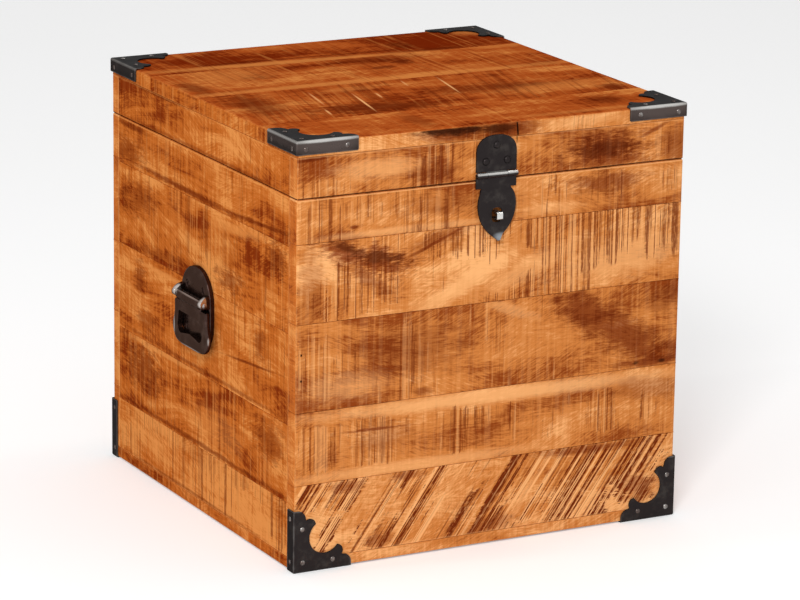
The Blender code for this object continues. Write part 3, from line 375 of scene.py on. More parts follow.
def build_placed_patch(name):
    """Mask of one knot, stain or pale patch at a place on a board."""
    bench, given, made = shader_group(name, (
        ("Position", "Vector", None), ("Centre", "Vector", None), ("Size", "Vector", None),
        ("Angle", "Float", 0.0), ("Rough", "Float", 0.5), ("Ragged", "Float", 0.6),
        ("Strength", "Float", 1.0),
    ), (("Mask", "Float"),))
    away = bench.vector('SUBTRACT', given["Position"], given["Centre"])
    turned = bench.add("VectorRotate", {"Vector": away, "Angle": given["Angle"]},
                       rotation_type='Z_AXIS').outputs[0]
    scaled = bench.vector('DIVIDE', turned, given["Size"])
    flat = bench.vector('MULTIPLY', scaled, (1.0, 1.0, 0.0))
    reach = bench.add("VectorMath", {0: flat}, operation='LENGTH').outputs["Value"]
    rough = bench.calc('MULTIPLY', bench.calc('SUBTRACT', given["Rough"], 0.5), given["Ragged"])
    reach = bench.calc('MULTIPLY_ADD', rough, 2.1, reach)
    mask = bench.ease(reach, 1.35, 0.35)
    bench.tree.links.new(bench.calc('MULTIPLY', mask, given["Strength"]), made["Mask"])


def build_worn_and_lit_edge(name):
    """Mask along the edges of a board that stands between two corners."""
    bench, given, made = shader_group(name, (
        ("Position", "Vector", None), ("Low", "Vector", None), ("High", "Vector", None),
        ("Width", "Float", 0.002),
    ), (("Edge", "Float"),))
    below = bench.vector('SUBTRACT', given["Position"], given["Low"])
    above = bench.vector('SUBTRACT', given["High"], given["Position"])
    x, y, z = bench.parts(bench.vector('MINIMUM', below, above))[:3]
    least = bench.calc('MINIMUM', x, y)
    most = bench.calc('MAXIMUM', x, y)
    second = bench.calc('MAXIMUM', least, bench.calc('MINIMUM', most, z))
    rough = bench.speckle(bench.vector('MULTIPLY', given["Position"], (70.0, 70.0, 70.0)), 3.0, 0.6)
    width = bench.calc('MULTIPLY', given["Width"], bench.ease(rough, 0.25, 0.75, 0.35, 1.5))
    bench.tree.links.new(bench.ease(second, width, 0.0), made["Edge"])


def build_forged_skin(name):
    """Blotches, fine pits and rubbing of blackened metal."""
    bench, given, made = shader_group(name, (
        ("Position", "Vector", None), ("Seed", "Float", 0.0), ("Base", "Color", None),
        ("Bloom", "Color", None), ("Bloom Share", "Float", 0.5),
    ), (("Color", "Color"), ("Roughness", "Float"), ("Height", "Float")))
    shift = bench.calc('MULTIPLY', given["Seed"], 0.37)
    place = bench.vector('ADD', given["Position"], bench.join(shift, shift, shift))
    blotch = bench.speckle(bench.vector('MULTIPLY', place, (85.0, 85.0, 85.0)), 4.0, 0.65)
    smear = bench.speckle(bench.vector('MULTIPLY', place, (40.0, 160.0, 60.0)), 2.0)
    pits = bench.speckle(bench.vector('MULTIPLY', place, (900.0, 900.0, 900.0)), 2.0)
    cover = bench.calc('MULTIPLY', bench.ease(blotch, 0.45, 0.75), given["Bloom Share"])
    cover = bench.calc('MULTIPLY_ADD', bench.calc('SUBTRACT', smear, 0.5), 0.35, cover, clamp=True)
    colour = bench.blend(cover, given["Base"], given["Bloom"])
    gloss = bench.calc('MULTIPLY_ADD', blotch, 0.30, 0.24)
    height = bench.calc('MULTIPLY_ADD', pits, 0.35, blotch)
    bench.tree.links.new(colour, made["Color"])
    bench.tree.links.new(gloss, made["Roughness"])
    bench.tree.links.new(height, made["Height"])


GROUPS = {
    "Board grain": build_board_grain,
    "Saw marks": build_saw_marks,
    "Placed patch": build_placed_patch,
    "Worn and lit edge": build_worn_and_lit_edge,
    "Forged skin": build_forged_skin,
}


# Boards

# Specular level of the wood; faces seen at a glance stay matt
GLOSS = {"front": 0.006, "side": 0.0, "flat": 0.0}

# How far a patch of saw marks, or one kept clear of them, changes their coverage
ZONE_SHARE = 0.8

# How strongly a dark patch is tinted with the board's dark tone, and then burnt
DARK_TINT = 0.75
DARK_BURN = 0.36

# How ragged the fibres leave a patch's outline
OUTLINE_HAIR = 0.7

# Depths below a face within which a board shows that face's own figure
SKIN = (0.0007, 0.0002)

# Depths below the braces' top: scratches start at the first and are full above the second
LID_FACE = (0.0035, 0.0025)

# Heights above the lid's lower edge between which the painted shade in the seam fades out
SEAM_SHADE = (0.0016, 0.0010)

# Depths below the body's upper edge between which the painted highlight on its arris fades in, and
# its strength
ARRIS_HIGHLIGHT = (0.0017, 0.0011)
ARRIS_HIGHLIGHT_SHARE = 0.55

# Depths below the walls' outer faces between which both of these lines end
OUTER_SKIN = (0.0010, 0.0006)

# Width of the pale band along a board's edges and along those of sheet metal: wear, and painted
# highlight where the edges catch the light
WOOD_WEAR_AND_HIGHLIGHT = 0.0020
STEEL_WEAR_AND_HIGHLIGHT = 0.0015

# Roughness of bare wood, and what saw marks and fibres add to it
WOOD_ROUGH = 0.36
MARK_ROUGH = 0.22
FIBRE_ROUGH = 0.12

# Relief of the fibres and the saw marks, as shares of its depth, and its strength
FIBRE_RELIEF = 0.50
MARK_RELIEF = -0.35
WOOD_BUMP = 0.8


def board_order(run, x, y, z):
    """Put a place in board order: along the grain, across the board, into it."""
    return {"front": (x, z, y), "side": (y, z, x), "flat": (x, y, z)}[run]


def wood_tones(wood):
    """The light, body and dark tones of each kind of face; the sides' and the top's are darker partly
    as painted shade
    """
    return {"front": (wood.front_light, wood.front_body, wood.front_dark),
            "side": (wood.side_light, wood.side_body, wood.side_dark),
            "flat": (wood.top_light, wood.top_body, wood.top_dark)}


def lay_coat(bench, run, tones, look, patches, wood, around):
    """Colour, saw marks and fibres of the faces that run one way."""
    place = bench.join(*board_order(run, *around))
    light, body, dark = ((*colour, 1.0) for colour in tones)
    burn = (*wood.burn, 1.0)
    grain = bench.group("Board grain", {
        "Position": place, "Seed": look["seed"], "Light": light, "Body": body, "Dark": dark,
        "Cloud": look["cloud"], "Figure": look["figure"], "Shift": look["shift"],
    })
    masks = dict.fromkeys(("dark", "pale", "sawn", "clear", "hole", "scratch"), 0.0)
    rough = rough_outline(bench, place, OUTLINE_HAIR)
    for kind, centre, size, angle, ragged, strength in patches:
        patch = bench.group("Placed patch", {
            "Position": place, "Centre": (*centre, 0.0), "Size": (*size, 1.0), "Rough": rough,
            "Angle": math.radians(-angle), "Ragged": ragged, "Strength": strength,
        })[0]
        if masks[kind] == 0.0:
            masks[kind] = patch
        else:
            masks[kind] = bench.calc('MAXIMUM', masks[kind], patch)
    coverage = bench.calc('MULTIPLY_ADD', masks["sawn"], ZONE_SHARE, look["coverage"])
    coverage = bench.calc('MULTIPLY_ADD', masks["clear"], -ZONE_SHARE, coverage)
    saw = bench.group("Saw marks", {
        "Position": place, "Seed": look["seed"], "Angle": math.radians(look["angle"]),
        "Pitch": look["pitch"], "Coverage": coverage, "Length": look["length"],
        "Even": look["even"], "Weight": look["weight"], "Dense": look["dense"],
    })
    marks = bench.calc('MULTIPLY', saw["Marks"], look["burnt"])
    # Pale ridges between the saw marks, partly a painted highlight
    pale_lit_ridges = bench.calc('MULTIPLY', saw["Pale Lit Ridges"], look["scraped"])
    colour = bench.blend(pale_lit_ridges, grain["Color"], light)
    colour = bench.blend(masks["pale"], colour, light)
    tint = bench.blend(DARK_TINT, (1.0, 1.0, 1.0, 1.0), dark)
    colour = bench.blend(masks["dark"], colour, bench.blend(1.0, colour, tint, 'MULTIPLY'))
    colour = bench.blend(bench.calc('MULTIPLY', masks["dark"], DARK_BURN), colour, burn)
    colour = bench.blend(bench.calc('MULTIPLY', marks, wood.saw_marks), colour, burn)
    top = bench.ease(around[2], CAD_BOX[1].z - LID_FACE[0], CAD_BOX[1].z - LID_FACE[1])
    scratch = bench.calc('MULTIPLY', masks["scratch"], top)
    colour = bench.blend(scratch, colour, (*wood.front_light, 1.0))
    # Holes, cracks and dark pits, and painted shade where such a patch is put
    colour = bench.blend(masks["hole"], colour, (*wood.hole, 1.0))
    return colour, marks, grain["Fibre"]


def outer_faces(part):
    """Axis and place of the four outer faces of the body's or the lid's walls."""
    wall = {"body": "{}_board_5", "lid": "lid_{}_rail"}[part]
    return [(axis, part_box(wall.format(side))[end][axis])
            for side, axis, end in (("left", 0, 0), ("right", 0, 1), ("front", 1, 0), ("back", 1, 1))]


def seam_shade_and_highlight(bench, seam, around, low, high):
    """Mask seen from outside: for the lid, painted shade in the seam along its lower edge; for the
    body, a painted highlight on its upper arris.
    """
    gaps = [bench.calc('ABSOLUTE', bench.calc('SUBTRACT', around[axis], face))
            for axis, face in outer_faces(seam)]
    inset = bench.calc('MINIMUM', bench.calc('MINIMUM', *gaps[:2]),
                       bench.calc('MINIMUM', *gaps[2:]))
    outer = bench.ease(inset, *OUTER_SKIN)
    if seam == "lid":
        line = bench.ease(around[2], low.z + SEAM_SHADE[0], low.z + SEAM_SHADE[1])
        return bench.calc('MULTIPLY', line, outer)
    line = bench.ease(around[2], high.z - ARRIS_HIGHLIGHT[0], high.z - ARRIS_HIGHLIGHT[1])
    return bench.calc('MULTIPLY', bench.calc('MULTIPLY', line, outer), ARRIS_HIGHLIGHT_SHARE)


def finish_board(node, run, look, wood, panel, seam):
    """Give one board its own wood; its end faces and edges match the panels beside it, painted shade
    of those faces included.
    """
    low, high = panel
    material, bench, shader = new_material(node + "_wood")
    around = bench.parts(bench.add("TexCoord").outputs["Object"])[:3]
    tones = wood_tones(wood)
    light = (*tones[run][0], 1.0)
    colour, marks, fibre = lay_coat(bench, run, tones[run], look, look["patches"], wood, around)
    if run == "flat":
        middle = (low.y + high.y) / 2
        away = bench.calc('ABSOLUTE', bench.calc('SUBTRACT', around[1], middle))
        face = bench.ease(away, *((high.y - low.y) / 2 - depth for depth in SKIN))
        edge_colour = lay_coat(bench, "front", tones["front"], look, look["edge_patches"], wood,
                               around)[0]
        colour = bench.blend(face, colour, edge_colour)
    if run != "side":
        end = bench.ease(bench.calc('ABSOLUTE', around[0]), *(high.x - depth for depth in SKIN))
        coverage, shift = (0.6, -0.10) if run == "flat" else (0.3, 0.05)
        end_look = board_look(look["seed"] + 60.0, coverage=coverage, burnt=0.5, shift=shift)
        end_colour = lay_coat(bench, "side", tones["side"], end_look, (), wood, around)[0]
        colour = bench.blend(end, colour, end_colour)
    edge = bench.group("Worn and lit edge", {
        "Position": bench.join(*board_order(run, *around)), "Low": board_order(run, *low),
        "High": board_order(run, *high), "Width": WOOD_WEAR_AND_HIGHLIGHT,
    })[0]
    # The pale edges are partly wear and partly painted highlight on the arrises
    colour = bench.blend(bench.calc('MULTIPLY', edge, wood.edge_wear_and_highlight), colour, light)
    # Painted shade in the lid's seam, and a painted highlight on the body's upper arris
    if seam is not None:
        seam_paint_colour = (*wood.hole, 1.0) if seam == "lid" else light
        colour = bench.blend(seam_shade_and_highlight(bench, seam, around, low, high), colour, seam_paint_colour)
    rough = bench.calc('MULTIPLY_ADD', marks, MARK_ROUGH, WOOD_ROUGH)
    rough = bench.calc('MULTIPLY_ADD', fibre, FIBRE_ROUGH, rough)
    height = bench.calc('MULTIPLY', marks, MARK_RELIEF)
    height = bench.calc('MULTIPLY_ADD', fibre, FIBRE_RELIEF, height)
    bench.finish_surface(shader, colour, rough, height, WOOD_BUMP, wood.relief)
    shader.inputs["Specular IOR Level"].default_value = GLOSS[run]
    dress(node, material)


def finish_panel(looks, run, wood, seam=None):
    """Finish the boards of one panel, which wear along the panel's own edges."""
    corners = [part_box(node) for node in looks]
    low = Vector([min(corner[0][axis] for corner in corners) for axis in range(3)])
    high = Vector([max(corner[1][axis] for corner in corners) for axis in range(3)])
    for node, look in looks.items():
        finish_board(node, run, look, wood, (low, high), seam)


def dress(node, material):
    """Put a material on a CAD node."""
    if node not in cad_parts:
        raise RuntimeError(f"the frame has no node named {node}")
    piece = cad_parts[node]
    if len(piece.material_slots) == 0:
        piece.data.materials.append(material)
    for place in piece.material_slots:
        place.material = material


def board_look(seed, **changes):
    """How one board looks; what isn't named is an ordinary board."""
    look = {
        "seed": seed, "cloud": 1.6, "figure": 0.75, "shift": 0.0, "angle": 0.0,
        "pitch": 0.0075, "coverage": 0.45, "length": 0.055, "even": 0.4, "burnt": 0.8,
        "weight": 1.0, "dense": 0.4, "scraped": 0.35, "patches": (), "edge_patches": (),
    }
    look.update(changes)
    return look


# Bundles of saw strokes on the lowest front board: middle along and across, half width,
# half length and strength
BUNDLES = (
    (-0.183, 0.073, 0.012, 0.012, 1.0), (-0.165, 0.033, 0.006, 0.018, 0.9),
    (-0.146, 0.070, 0.012, 0.016, 1.0), (-0.128, 0.032, 0.007, 0.030, 1.0),
    (-0.114, 0.022, 0.009, 0.014, 1.0), (-0.087, 0.076, 0.016, 0.008, 1.0),
    (-0.071, 0.048, 0.005, 0.042, 1.0), (-0.066, 0.030, 0.004, 0.026, 0.9),
    (-0.026, 0.028, 0.006, 0.026, 1.0), (0.008, 0.045, 0.007, 0.048, 1.0),
    (0.010, 0.020, 0.016, 0.012, 1.0), (0.048, 0.030, 0.005, 0.026, 0.9),
    (0.042, 0.060, 0.004, 0.024, 0.8), (0.095, 0.076, 0.050, 0.009, 1.0),
    (0.100, 0.045, 0.026, 0.040, 0.85), (0.105, 0.020, 0.020, 0.012, 1.0),
    (0.155, 0.062, 0.024, 0.024, 1.0), (0.156, 0.036, 0.018, 0.014, 0.9),
)

# The front's boards from the bottom up, then the lid's front rail. A patch is its kind,
# its centre and half sizes along and across the board, its turn in degrees, how ragged
# its outline is and its strength
FRONT_LOOKS = {
    "front_board_1": board_look(
        1.0, angle=-35.5, coverage=0.30, length=0.06, even=0.2, pitch=0.0085, burnt=1.2,
        shift=0.14, scraped=0.95, weight=0.85, dense=1.0, cloud=1.1, figure=0.6,
        patches=(*(("sawn", (x, z), (1.3 * half_width, 1.6 * half_length), -35.5, 0.8, share)
                   for x, z, half_width, half_length, share in BUNDLES),
                 ("dark", (0.004, 0.019), (0.026, 0.008), 10.0, 0.7, 0.55),
                 ("dark", (0.105, 0.078), (0.060, 0.0045), 0.0, 0.8, 0.7),
                 ("dark", (0.162, 0.034), (0.020, 0.012), 0.0, 0.9, 0.6),
                 ("dark", (-0.087, 0.0775), (0.018, 0.004), 0.0, 0.8, 0.6),
                 ("dark", (-0.148, 0.075), (0.018, 0.006), 0.0, 0.8, 0.6),
                 ("dark", (-0.115, 0.020), (0.016, 0.007), 0.0, 0.8, 0.5))),
    "front_board_2": board_look(
        2.0, figure=0.6, coverage=0.33, length=0.06, even=0.5, shift=-0.05, burnt=0.9,
        patches=(("sawn", (-0.120, 0.118), (0.026, 0.026), 0.0, 0.7, 0.8),
                 ("sawn", (-0.038, 0.112), (0.012, 0.030), 0.0, 0.5, 0.9),
                 ("sawn", (0.022, 0.112), (0.008, 0.030), 0.0, 0.4, 0.8),
                 ("sawn", (0.118, 0.118), (0.020, 0.028), 0.0, 0.6, 0.8),
                 ("sawn", (-0.178, 0.115), (0.016, 0.026), 0.0, 0.6, 0.7),
                 ("sawn", (0.067, 0.115), (0.014, 0.024), 0.0, 0.5, 0.7),
                 ("sawn", (0.170, 0.112), (0.012, 0.020), 0.0, 0.5, 0.7),
                 ("clear", (0.0, 0.143), (0.30, 0.009), 0.0, 0.2, 1.0),
                 ("clear", (0.0, 0.087), (0.30, 0.006), 0.0, 0.2, 0.9),
                 ("pale", (0.010, 0.1425), (0.20, 0.0075), -0.5, 0.4, 0.75),
                 ("pale", (-0.08, 0.087), (0.13, 0.006), 0.0, 0.4, 0.5),
                 ("dark", (-0.118, 0.126), (0.034, 0.0016), -1.0, 0.8, 0.9),
                 ("dark", (0.170, 0.130), (0.050, 0.012), -6.0, 0.8, 0.45),
                 ("dark", (-0.110, 0.118), (0.030, 0.014), 0.0, 1.0, 0.35))),
    "front_board_3": board_look(
        3.0, figure=0.6, dense=0.2, coverage=0.26, length=0.08, even=0.3, burnt=0.75, shift=-0.12,
        patches=(("sawn", (-0.182, 0.190), (0.020, 0.034), 0.0, 0.4, 1.0),
                 ("sawn", (-0.088, 0.192), (0.020, 0.032), 0.0, 0.5, 0.8),
                 ("sawn", (0.006, 0.204), (0.012, 0.022), 0.0, 0.5, 0.8),
                 ("sawn", (-0.145, 0.192), (0.016, 0.026), 0.0, 0.5, 0.6),
                 ("dark", (0.100, 0.210), (0.046, 0.017), -35.0, 1.0, 0.9),
                 ("dark", (0.145, 0.182), (0.056, 0.019), -32.0, 1.0, 0.9),
                 ("hole", (0.155, 0.1550), (0.0035, 0.0016), 0.0, 0.6, 0.7),
                 ("hole", (0.183, 0.1540), (0.0040, 0.0018), 0.0, 0.6, 0.7),
                 ("dark", (0.170, 0.155), (0.036, 0.005), 0.0, 1.0, 0.9),
                 ("dark", (0.185, 0.215), (0.022, 0.014), 0.0, 1.1, 0.5),
                 ("dark", (-0.080, 0.196), (0.055, 0.026), 0.0, 1.1, 0.40),
                 ("dark", (-0.070, 0.156), (0.010, 0.004), 0.0, 0.8, 0.6),
                 ("pale", (-0.150, 0.170), (0.045, 0.014), 0.0, 0.8, 0.35),
                 ("pale", (0.020, 0.222), (0.030, 0.006), -20.0, 0.8, 0.35),
                 ("hole", (-0.1945, 0.204), (0.0011, 0.0013), 0.0, 0.0, 1.0),
                 ("hole", (-0.1945, 0.180), (0.0011, 0.0013), 0.0, 0.0, 1.0))),
    "front_board_4": board_look(
        4.0, figure=0.6, coverage=0.30, length=0.08, even=1.0, pitch=0.0060, shift=0.10,
        scraped=0.5, burnt=0.95, weight=0.65, dense=0.0,
        patches=(("sawn", (0.078, 0.272), (0.034, 0.060), 0.0, 0.3, 0.7),
                 ("sawn", (0.150, 0.292), (0.075, 0.034), 0.0, 0.5, 0.55),
                 ("sawn", (-0.140, 0.258), (0.048, 0.030), 0.0, 0.6, 0.8),
                 ("sawn", (-0.030, 0.292), (0.040, 0.018), 0.0, 0.5, 0.9),
                 ("clear", (-0.005, 0.252), (0.070, 0.014), 22.0, 0.4, 0.9),
                 ("clear", (0.140, 0.243), (0.060, 0.010), 0.0, 0.4, 0.6),
                 ("dark", (-0.148, 0.293), (0.034, 0.0110), -20.0, 1.2, 1.0),
                 ("dark", (-0.118, 0.283), (0.036, 0.0130), -10.0, 1.4, 1.0),
                 ("dark", (-0.128, 0.268), (0.030, 0.007), -40.0, 1.2, 0.6),
                 ("dark", (-0.058, 0.2945), (0.042, 0.0022), 22.0, 0.5, 1.0),
                 ("dark", (-0.052, 0.299), (0.034, 0.007), 16.0, 0.8, 0.55),
                 ("dark", (-0.185, 0.265), (0.014, 0.040), 0.0, 1.0, 0.35),
                 ("pale", (-0.030, 0.252), (0.062, 0.009), 24.0, 0.5, 0.7),
                 ("pale", (0.045, 0.262), (0.060, 0.011), 20.0, 0.6, 0.45),
                 ("pale", (0.140, 0.262), (0.080, 0.022), 8.0, 0.8, 0.55),
                 ("hole", (-0.147, 0.2965), (0.018, 0.0045), -20.0, 1.6, 0.45),
                 ("hole", (-0.117, 0.2850), (0.024, 0.0060), -10.0, 1.8, 0.45))),
    "front_board_5": board_look(
        5.0, figure=0.6, dense=0.2, coverage=0.30, length=0.045, even=0.4, shift=-0.10, burnt=0.85,
        patches=(("sawn", (-0.176, 0.330), (0.018, 0.018), 0.0, 0.4, 1.0),
                 ("sawn", (-0.125, 0.332), (0.040, 0.012), 0.0, 0.6, 0.6),
                 ("sawn", (0.105, 0.330), (0.050, 0.014), 0.0, 0.6, 0.6),
                 ("sawn", (0.188, 0.330), (0.012, 0.016), 0.0, 0.4, 0.9),
                 ("dark", (0.118, 0.332), (0.040, 0.010), 0.0, 1.0, 0.75),
                 ("dark", (-0.143, 0.3165), (0.0045, 0.0020), 0.0, 0.6, 1.0),
                 ("dark", (-0.060, 0.328), (0.040, 0.010), 0.0, 1.0, 0.30),
                 ("pale", (-0.090, 0.309), (0.10, 0.004), 0.0, 0.5, 0.5),
                 # Painted shadow on the wood behind the slot of the hasp's strap, around the staple
                 ("hole", (0.0, 0.3115), (0.010, 0.009), 0.0, 0.2, 0.85),
                 ("pale", (0.060, 0.313), (0.030, 0.006), 0.0, 0.8, 0.35))),
}
LID_FRONT_LOOK = {
    "lid_front_rail": board_look(
        6.0, figure=0.6, dense=0.2, coverage=0.30, length=0.045, even=0.4, shift=-0.12, burnt=0.85,
        patches=(("sawn", (-0.172, 0.354), (0.022, 0.010), 0.0, 0.5, 0.9),
                 ("sawn", (-0.066, 0.360), (0.014, 0.014), 0.0, 0.5, 0.9),
                 ("sawn", (0.120, 0.362), (0.032, 0.014), 0.0, 0.5, 0.8),
                 ("sawn", (0.180, 0.362), (0.014, 0.014), 0.0, 0.5, 0.7),
                 ("dark", (0.115, 0.3635), (0.044, 0.0190), 0.0, 1.1, 1.0),
                 ("hole", (0.113, 0.3640), (0.030, 0.0090), 0.0, 1.6, 0.32),
                 ("dark", (0.120, 0.352), (0.045, 0.006), 0.0, 0.9, 0.8),
                 ("dark", (0.165, 0.376), (0.020, 0.0022), 22.0, 0.6, 0.8),
                 ("dark", (-0.062, 0.358), (0.026, 0.010), 0.0, 1.1, 0.6),
                 ("dark", (-0.185, 0.382), (0.020, 0.0020), 4.0, 0.5, 0.9),
                 ("dark", (0.190, 0.360), (0.020, 0.018), 0.0, 1.0, 0.6),
                 ("pale", (-0.120, 0.368), (0.045, 0.010), 0.0, 0.8, 0.45),
                 ("hole", (0.0217, 0.384), (0.0007, 0.006), 0.0, 0.3, 0.9))),
}

# The left side's boards from the bottom up, then the lid's left rail
LEFT_LOOKS = {
    "left_board_1": board_look(
        11.0, coverage=0.30, length=0.04, even=0.0, burnt=0.8, shift=0.20, figure=1.0,
        patches=(("sawn", (0.0, 0.056), (0.19, 0.012), 0.0, 0.5, 0.8),
                 ("sawn", (0.160, 0.025), (0.030, 0.020), 0.0, 0.5, 0.8),
                 ("sawn", (-0.165, 0.040), (0.020, 0.025), 0.0, 0.5, 0.9),
                 ("dark", (0.02, 0.0135), (0.16, 0.002), 0.0, 0.7, 0.5))),
    "left_board_2": board_look(
        12.0, coverage=0.35, length=0.04, even=0.0, burnt=0.6, figure=1.15, cloud=2.2, shift=-0.06,
        patches=(("dark", (0.130, 0.108), (0.040, 0.022), 0.0, 1.7, 0.59),
                 ("dark", (-0.145, 0.110), (0.034, 0.020), 0.0, 1.7, 0.46),
                 ("dark", (0.0, 0.0665), (0.20, 0.0025), 0.0, 1.0, 0.7),
                 ("pale", (0.080, 0.1335), (0.090, 0.003), -1.0, 0.6, 0.7),
                 ("sawn", (0.130, 0.100), (0.040, 0.030), 0.0, 0.5, 0.8),
                 ("pale", (-0.030, 0.090), (0.060, 0.020), 0.0, 0.9, 0.3))),
    "left_board_3": board_look(
        13.0, coverage=0.35, length=0.04, even=0.0, burnt=0.6, shift=0.02, figure=1.1, cloud=1.8,
        patches=(("dark", (0.138, 0.195), (0.012, 0.016), 0.0, 1.7, 0.56),
                 ("dark", (-0.124, 0.196), (0.010, 0.016), 0.0, 1.7, 0.50),
                 ("dark", (-0.105, 0.173), (0.058, 0.0014), -5.0, 0.6, 0.8),
                 ("dark", (0.120, 0.157), (0.026, 0.010), 0.0, 1.7, 0.43),
                 ("dark", (0.0, 0.140), (0.20, 0.0022), 0.0, 1.0, 0.5),
                 ("pale", (0.080, 0.212), (0.080, 0.003), 0.0, 0.6, 0.6))),
    "left_board_4": board_look(
        14.0, coverage=0.38, length=0.04, even=0.0, burnt=0.6, figure=1.15, cloud=2.4,
        patches=(("dark", (0.140, 0.273), (0.040, 0.016), -8.0, 1.7, 0.46),
                 ("dark", (-0.158, 0.285), (0.020, 0.016), 0.0, 1.7, 0.62),
                 ("dark", (-0.062, 0.241), (0.028, 0.011), 0.0, 1.7, 0.56),
                 ("dark", (0.09, 0.229), (0.090, 0.006), -4.0, 1.7, 0.43),
                 ("sawn", (-0.050, 0.260), (0.090, 0.030), 0.0, 0.5, 0.5),
                 ("pale", (-0.080, 0.292), (0.060, 0.006), -6.0, 0.8, 0.5))),
    "left_board_5": board_look(
        15.0, coverage=0.28, length=0.04, even=0.0, burnt=0.5, shift=0.0, figure=1.0, cloud=2.0,
        patches=(("dark", (0.170, 0.316), (0.040, 0.014), -6.0, 1.7, 0.53),
                 ("dark", (0.040, 0.3055), (0.13, 0.003), 0.5, 1.0, 0.85),
                 ("dark", (-0.120, 0.308), (0.080, 0.0025), -3.0, 1.0, 0.85),
                 ("dark", (0.160, 0.341), (0.040, 0.003), 0.0, 1.0, 0.7))),
}
LID_LEFT_LOOK = {
    "lid_left_rail": board_look(
        16.0, coverage=0.32, length=0.04, even=0.0, burnt=0.5, shift=0.03, figure=1.0, cloud=1.8,
        patches=(("dark", (0.192, 0.378), (0.012, 0.012), 0.0, 1.7, 0.56),
                 ("dark", (-0.186, 0.372), (0.004, 0.012), -20.0, 1.7, 0.56),
                 ("dark", (0.090, 0.3835), (0.060, 0.002), 0.0, 1.0, 0.8),
                 ("dark", (-0.010, 0.349), (0.20, 0.0022), 0.0, 0.8, 0.5))),
}

# Pale scratches on the lid's top: middle along and across, half length, strength
SCRATCHES = ((-0.102, -0.040, 0.026, 0.6), (-0.069, -0.072, 0.036, 0.9),
             (-0.042, -0.050, 0.011, 0.7), (0.039, -0.036, 0.034, 0.8),
             (-0.118, -0.096, 0.011, 0.7), (0.005, -0.012, 0.012, 0.5))

# The lid's top boards from the front back
TOP_LOOKS = {
    "lid_top_board_1": board_look(
        21.0, coverage=0.32, length=0.09, even=0.25, burnt=0.5, angle=-4.0, shift=0.03,
        patches=(("dark", (0.140, -0.150), (0.020, 0.020), 0.0, 1.2, 0.6),
                 ("dark", (-0.060, -0.160), (0.012, 0.030), 0.0, 1.0, 0.4),
                 ("pale", (0.10, -0.185), (0.09, 0.006), 0.0, 0.7, 0.4)),
        edge_patches=(("dark", (-0.043, 0.3945), (0.040, 0.0100), 0.0, 0.5, 1.0),
                      ("hole", (-0.044, 0.3955), (0.036, 0.0055), -2.0, 0.8, 0.85),
                      ("dark", (0.012, 0.3930), (0.034, 0.0110), 0.0, 0.5, 1.0),
                      ("hole", (0.022, 0.3915), (0.0011, 0.0120), 6.0, 0.1, 1.0),
                      ("hole", (0.002, 0.3930), (0.024, 0.0045), 0.0, 0.8, 0.7),
                      ("pale", (0.090, 0.3920), (0.040, 0.005), 0.0, 0.7, 0.5))),
    "lid_top_board_2": board_look(
        22.0, coverage=0.5, length=0.12, even=0.3, burnt=0.6, angle=-12.0, scraped=0.3,
        shift=-0.06, cloud=1.8,
        patches=(("dark", (-0.070, -0.095), (0.060, 0.022), -8.0, 1.2, 1.0),
                 ("dark", (-0.165, -0.040), (0.024, 0.050), 0.0, 1.0, 0.75),
                 ("dark", (0.060, -0.060), (0.070, 0.018), 0.0, 1.2, 0.5),
                 ("dark", (0.178, -0.105), (0.012, 0.014), 0.0, 1.0, 0.9),
                 ("pale", (0.130, -0.080), (0.070, 0.022), 0.0, 0.9, 0.5),
                 ("pale", (-0.055, -0.015), (0.030, 0.010), 0.0, 0.9, 0.45),
                 *(("scratch", (x, y), (0.0013, half), -11.0, 0.1, share)
                   for x, y, half, share in SCRATCHES))),
    "lid_top_board_3": board_look(
        23.0, coverage=0.5, length=0.11, even=0.4, burnt=0.5, angle=0.0, shift=0.02,
        patches=(("pale", (0.0, 0.014), (0.26, 0.009), 0.0, 0.5, 0.75),
                 ("pale", (-0.09, 0.124), (0.11, 0.0035), -1.0, 0.5, 0.8),
                 ("pale", (-0.130, 0.085), (0.040, 0.035), 0.0, 0.9, 0.45),
                 ("pale", (0.170, 0.110), (0.034, 0.012), 0.0, 0.9, 0.5),
                 ("dark", (0.050, 0.079), (0.012, 0.010), 20.0, 1.2, 1.0),
                 ("dark", (0.020, 0.062), (0.014, 0.006), 0.0, 1.2, 0.7),
                 ("dark", (-0.185, 0.045), (0.012, 0.030), 0.0, 1.0, 0.7),
                 ("dark", (0.030, 0.100), (0.050, 0.022), 0.0, 1.2, 0.45),
                 ("sawn", (-0.130, 0.085), (0.050, 0.045), 0.0, 0.5, 0.8))),
    "lid_top_board_4": board_look(
        24.0, coverage=0.35, length=0.07, even=0.2, burnt=0.45, angle=0.0, shift=-0.20, figure=0.7,
        # The first dark patch is a painted shadow line across the board
        patches=(("dark", (-0.030, 0.1350), (0.14, 0.0025), -2.0, 0.7, 0.6),
                 ("pale", (-0.060, 0.1210), (0.17, 0.0090), -3.0, 0.5, 0.75),
                 ("dark", (0.120, 0.1200), (0.060, 0.0060), 0.0, 1.0, 0.4),
                 ("dark", (0.085, 0.150), (0.012, 0.014), 0.0, 1.1, 0.7),
                 ("pale", (0.180, 0.180), (0.020, 0.014), 0.0, 0.9, 0.5))),
}


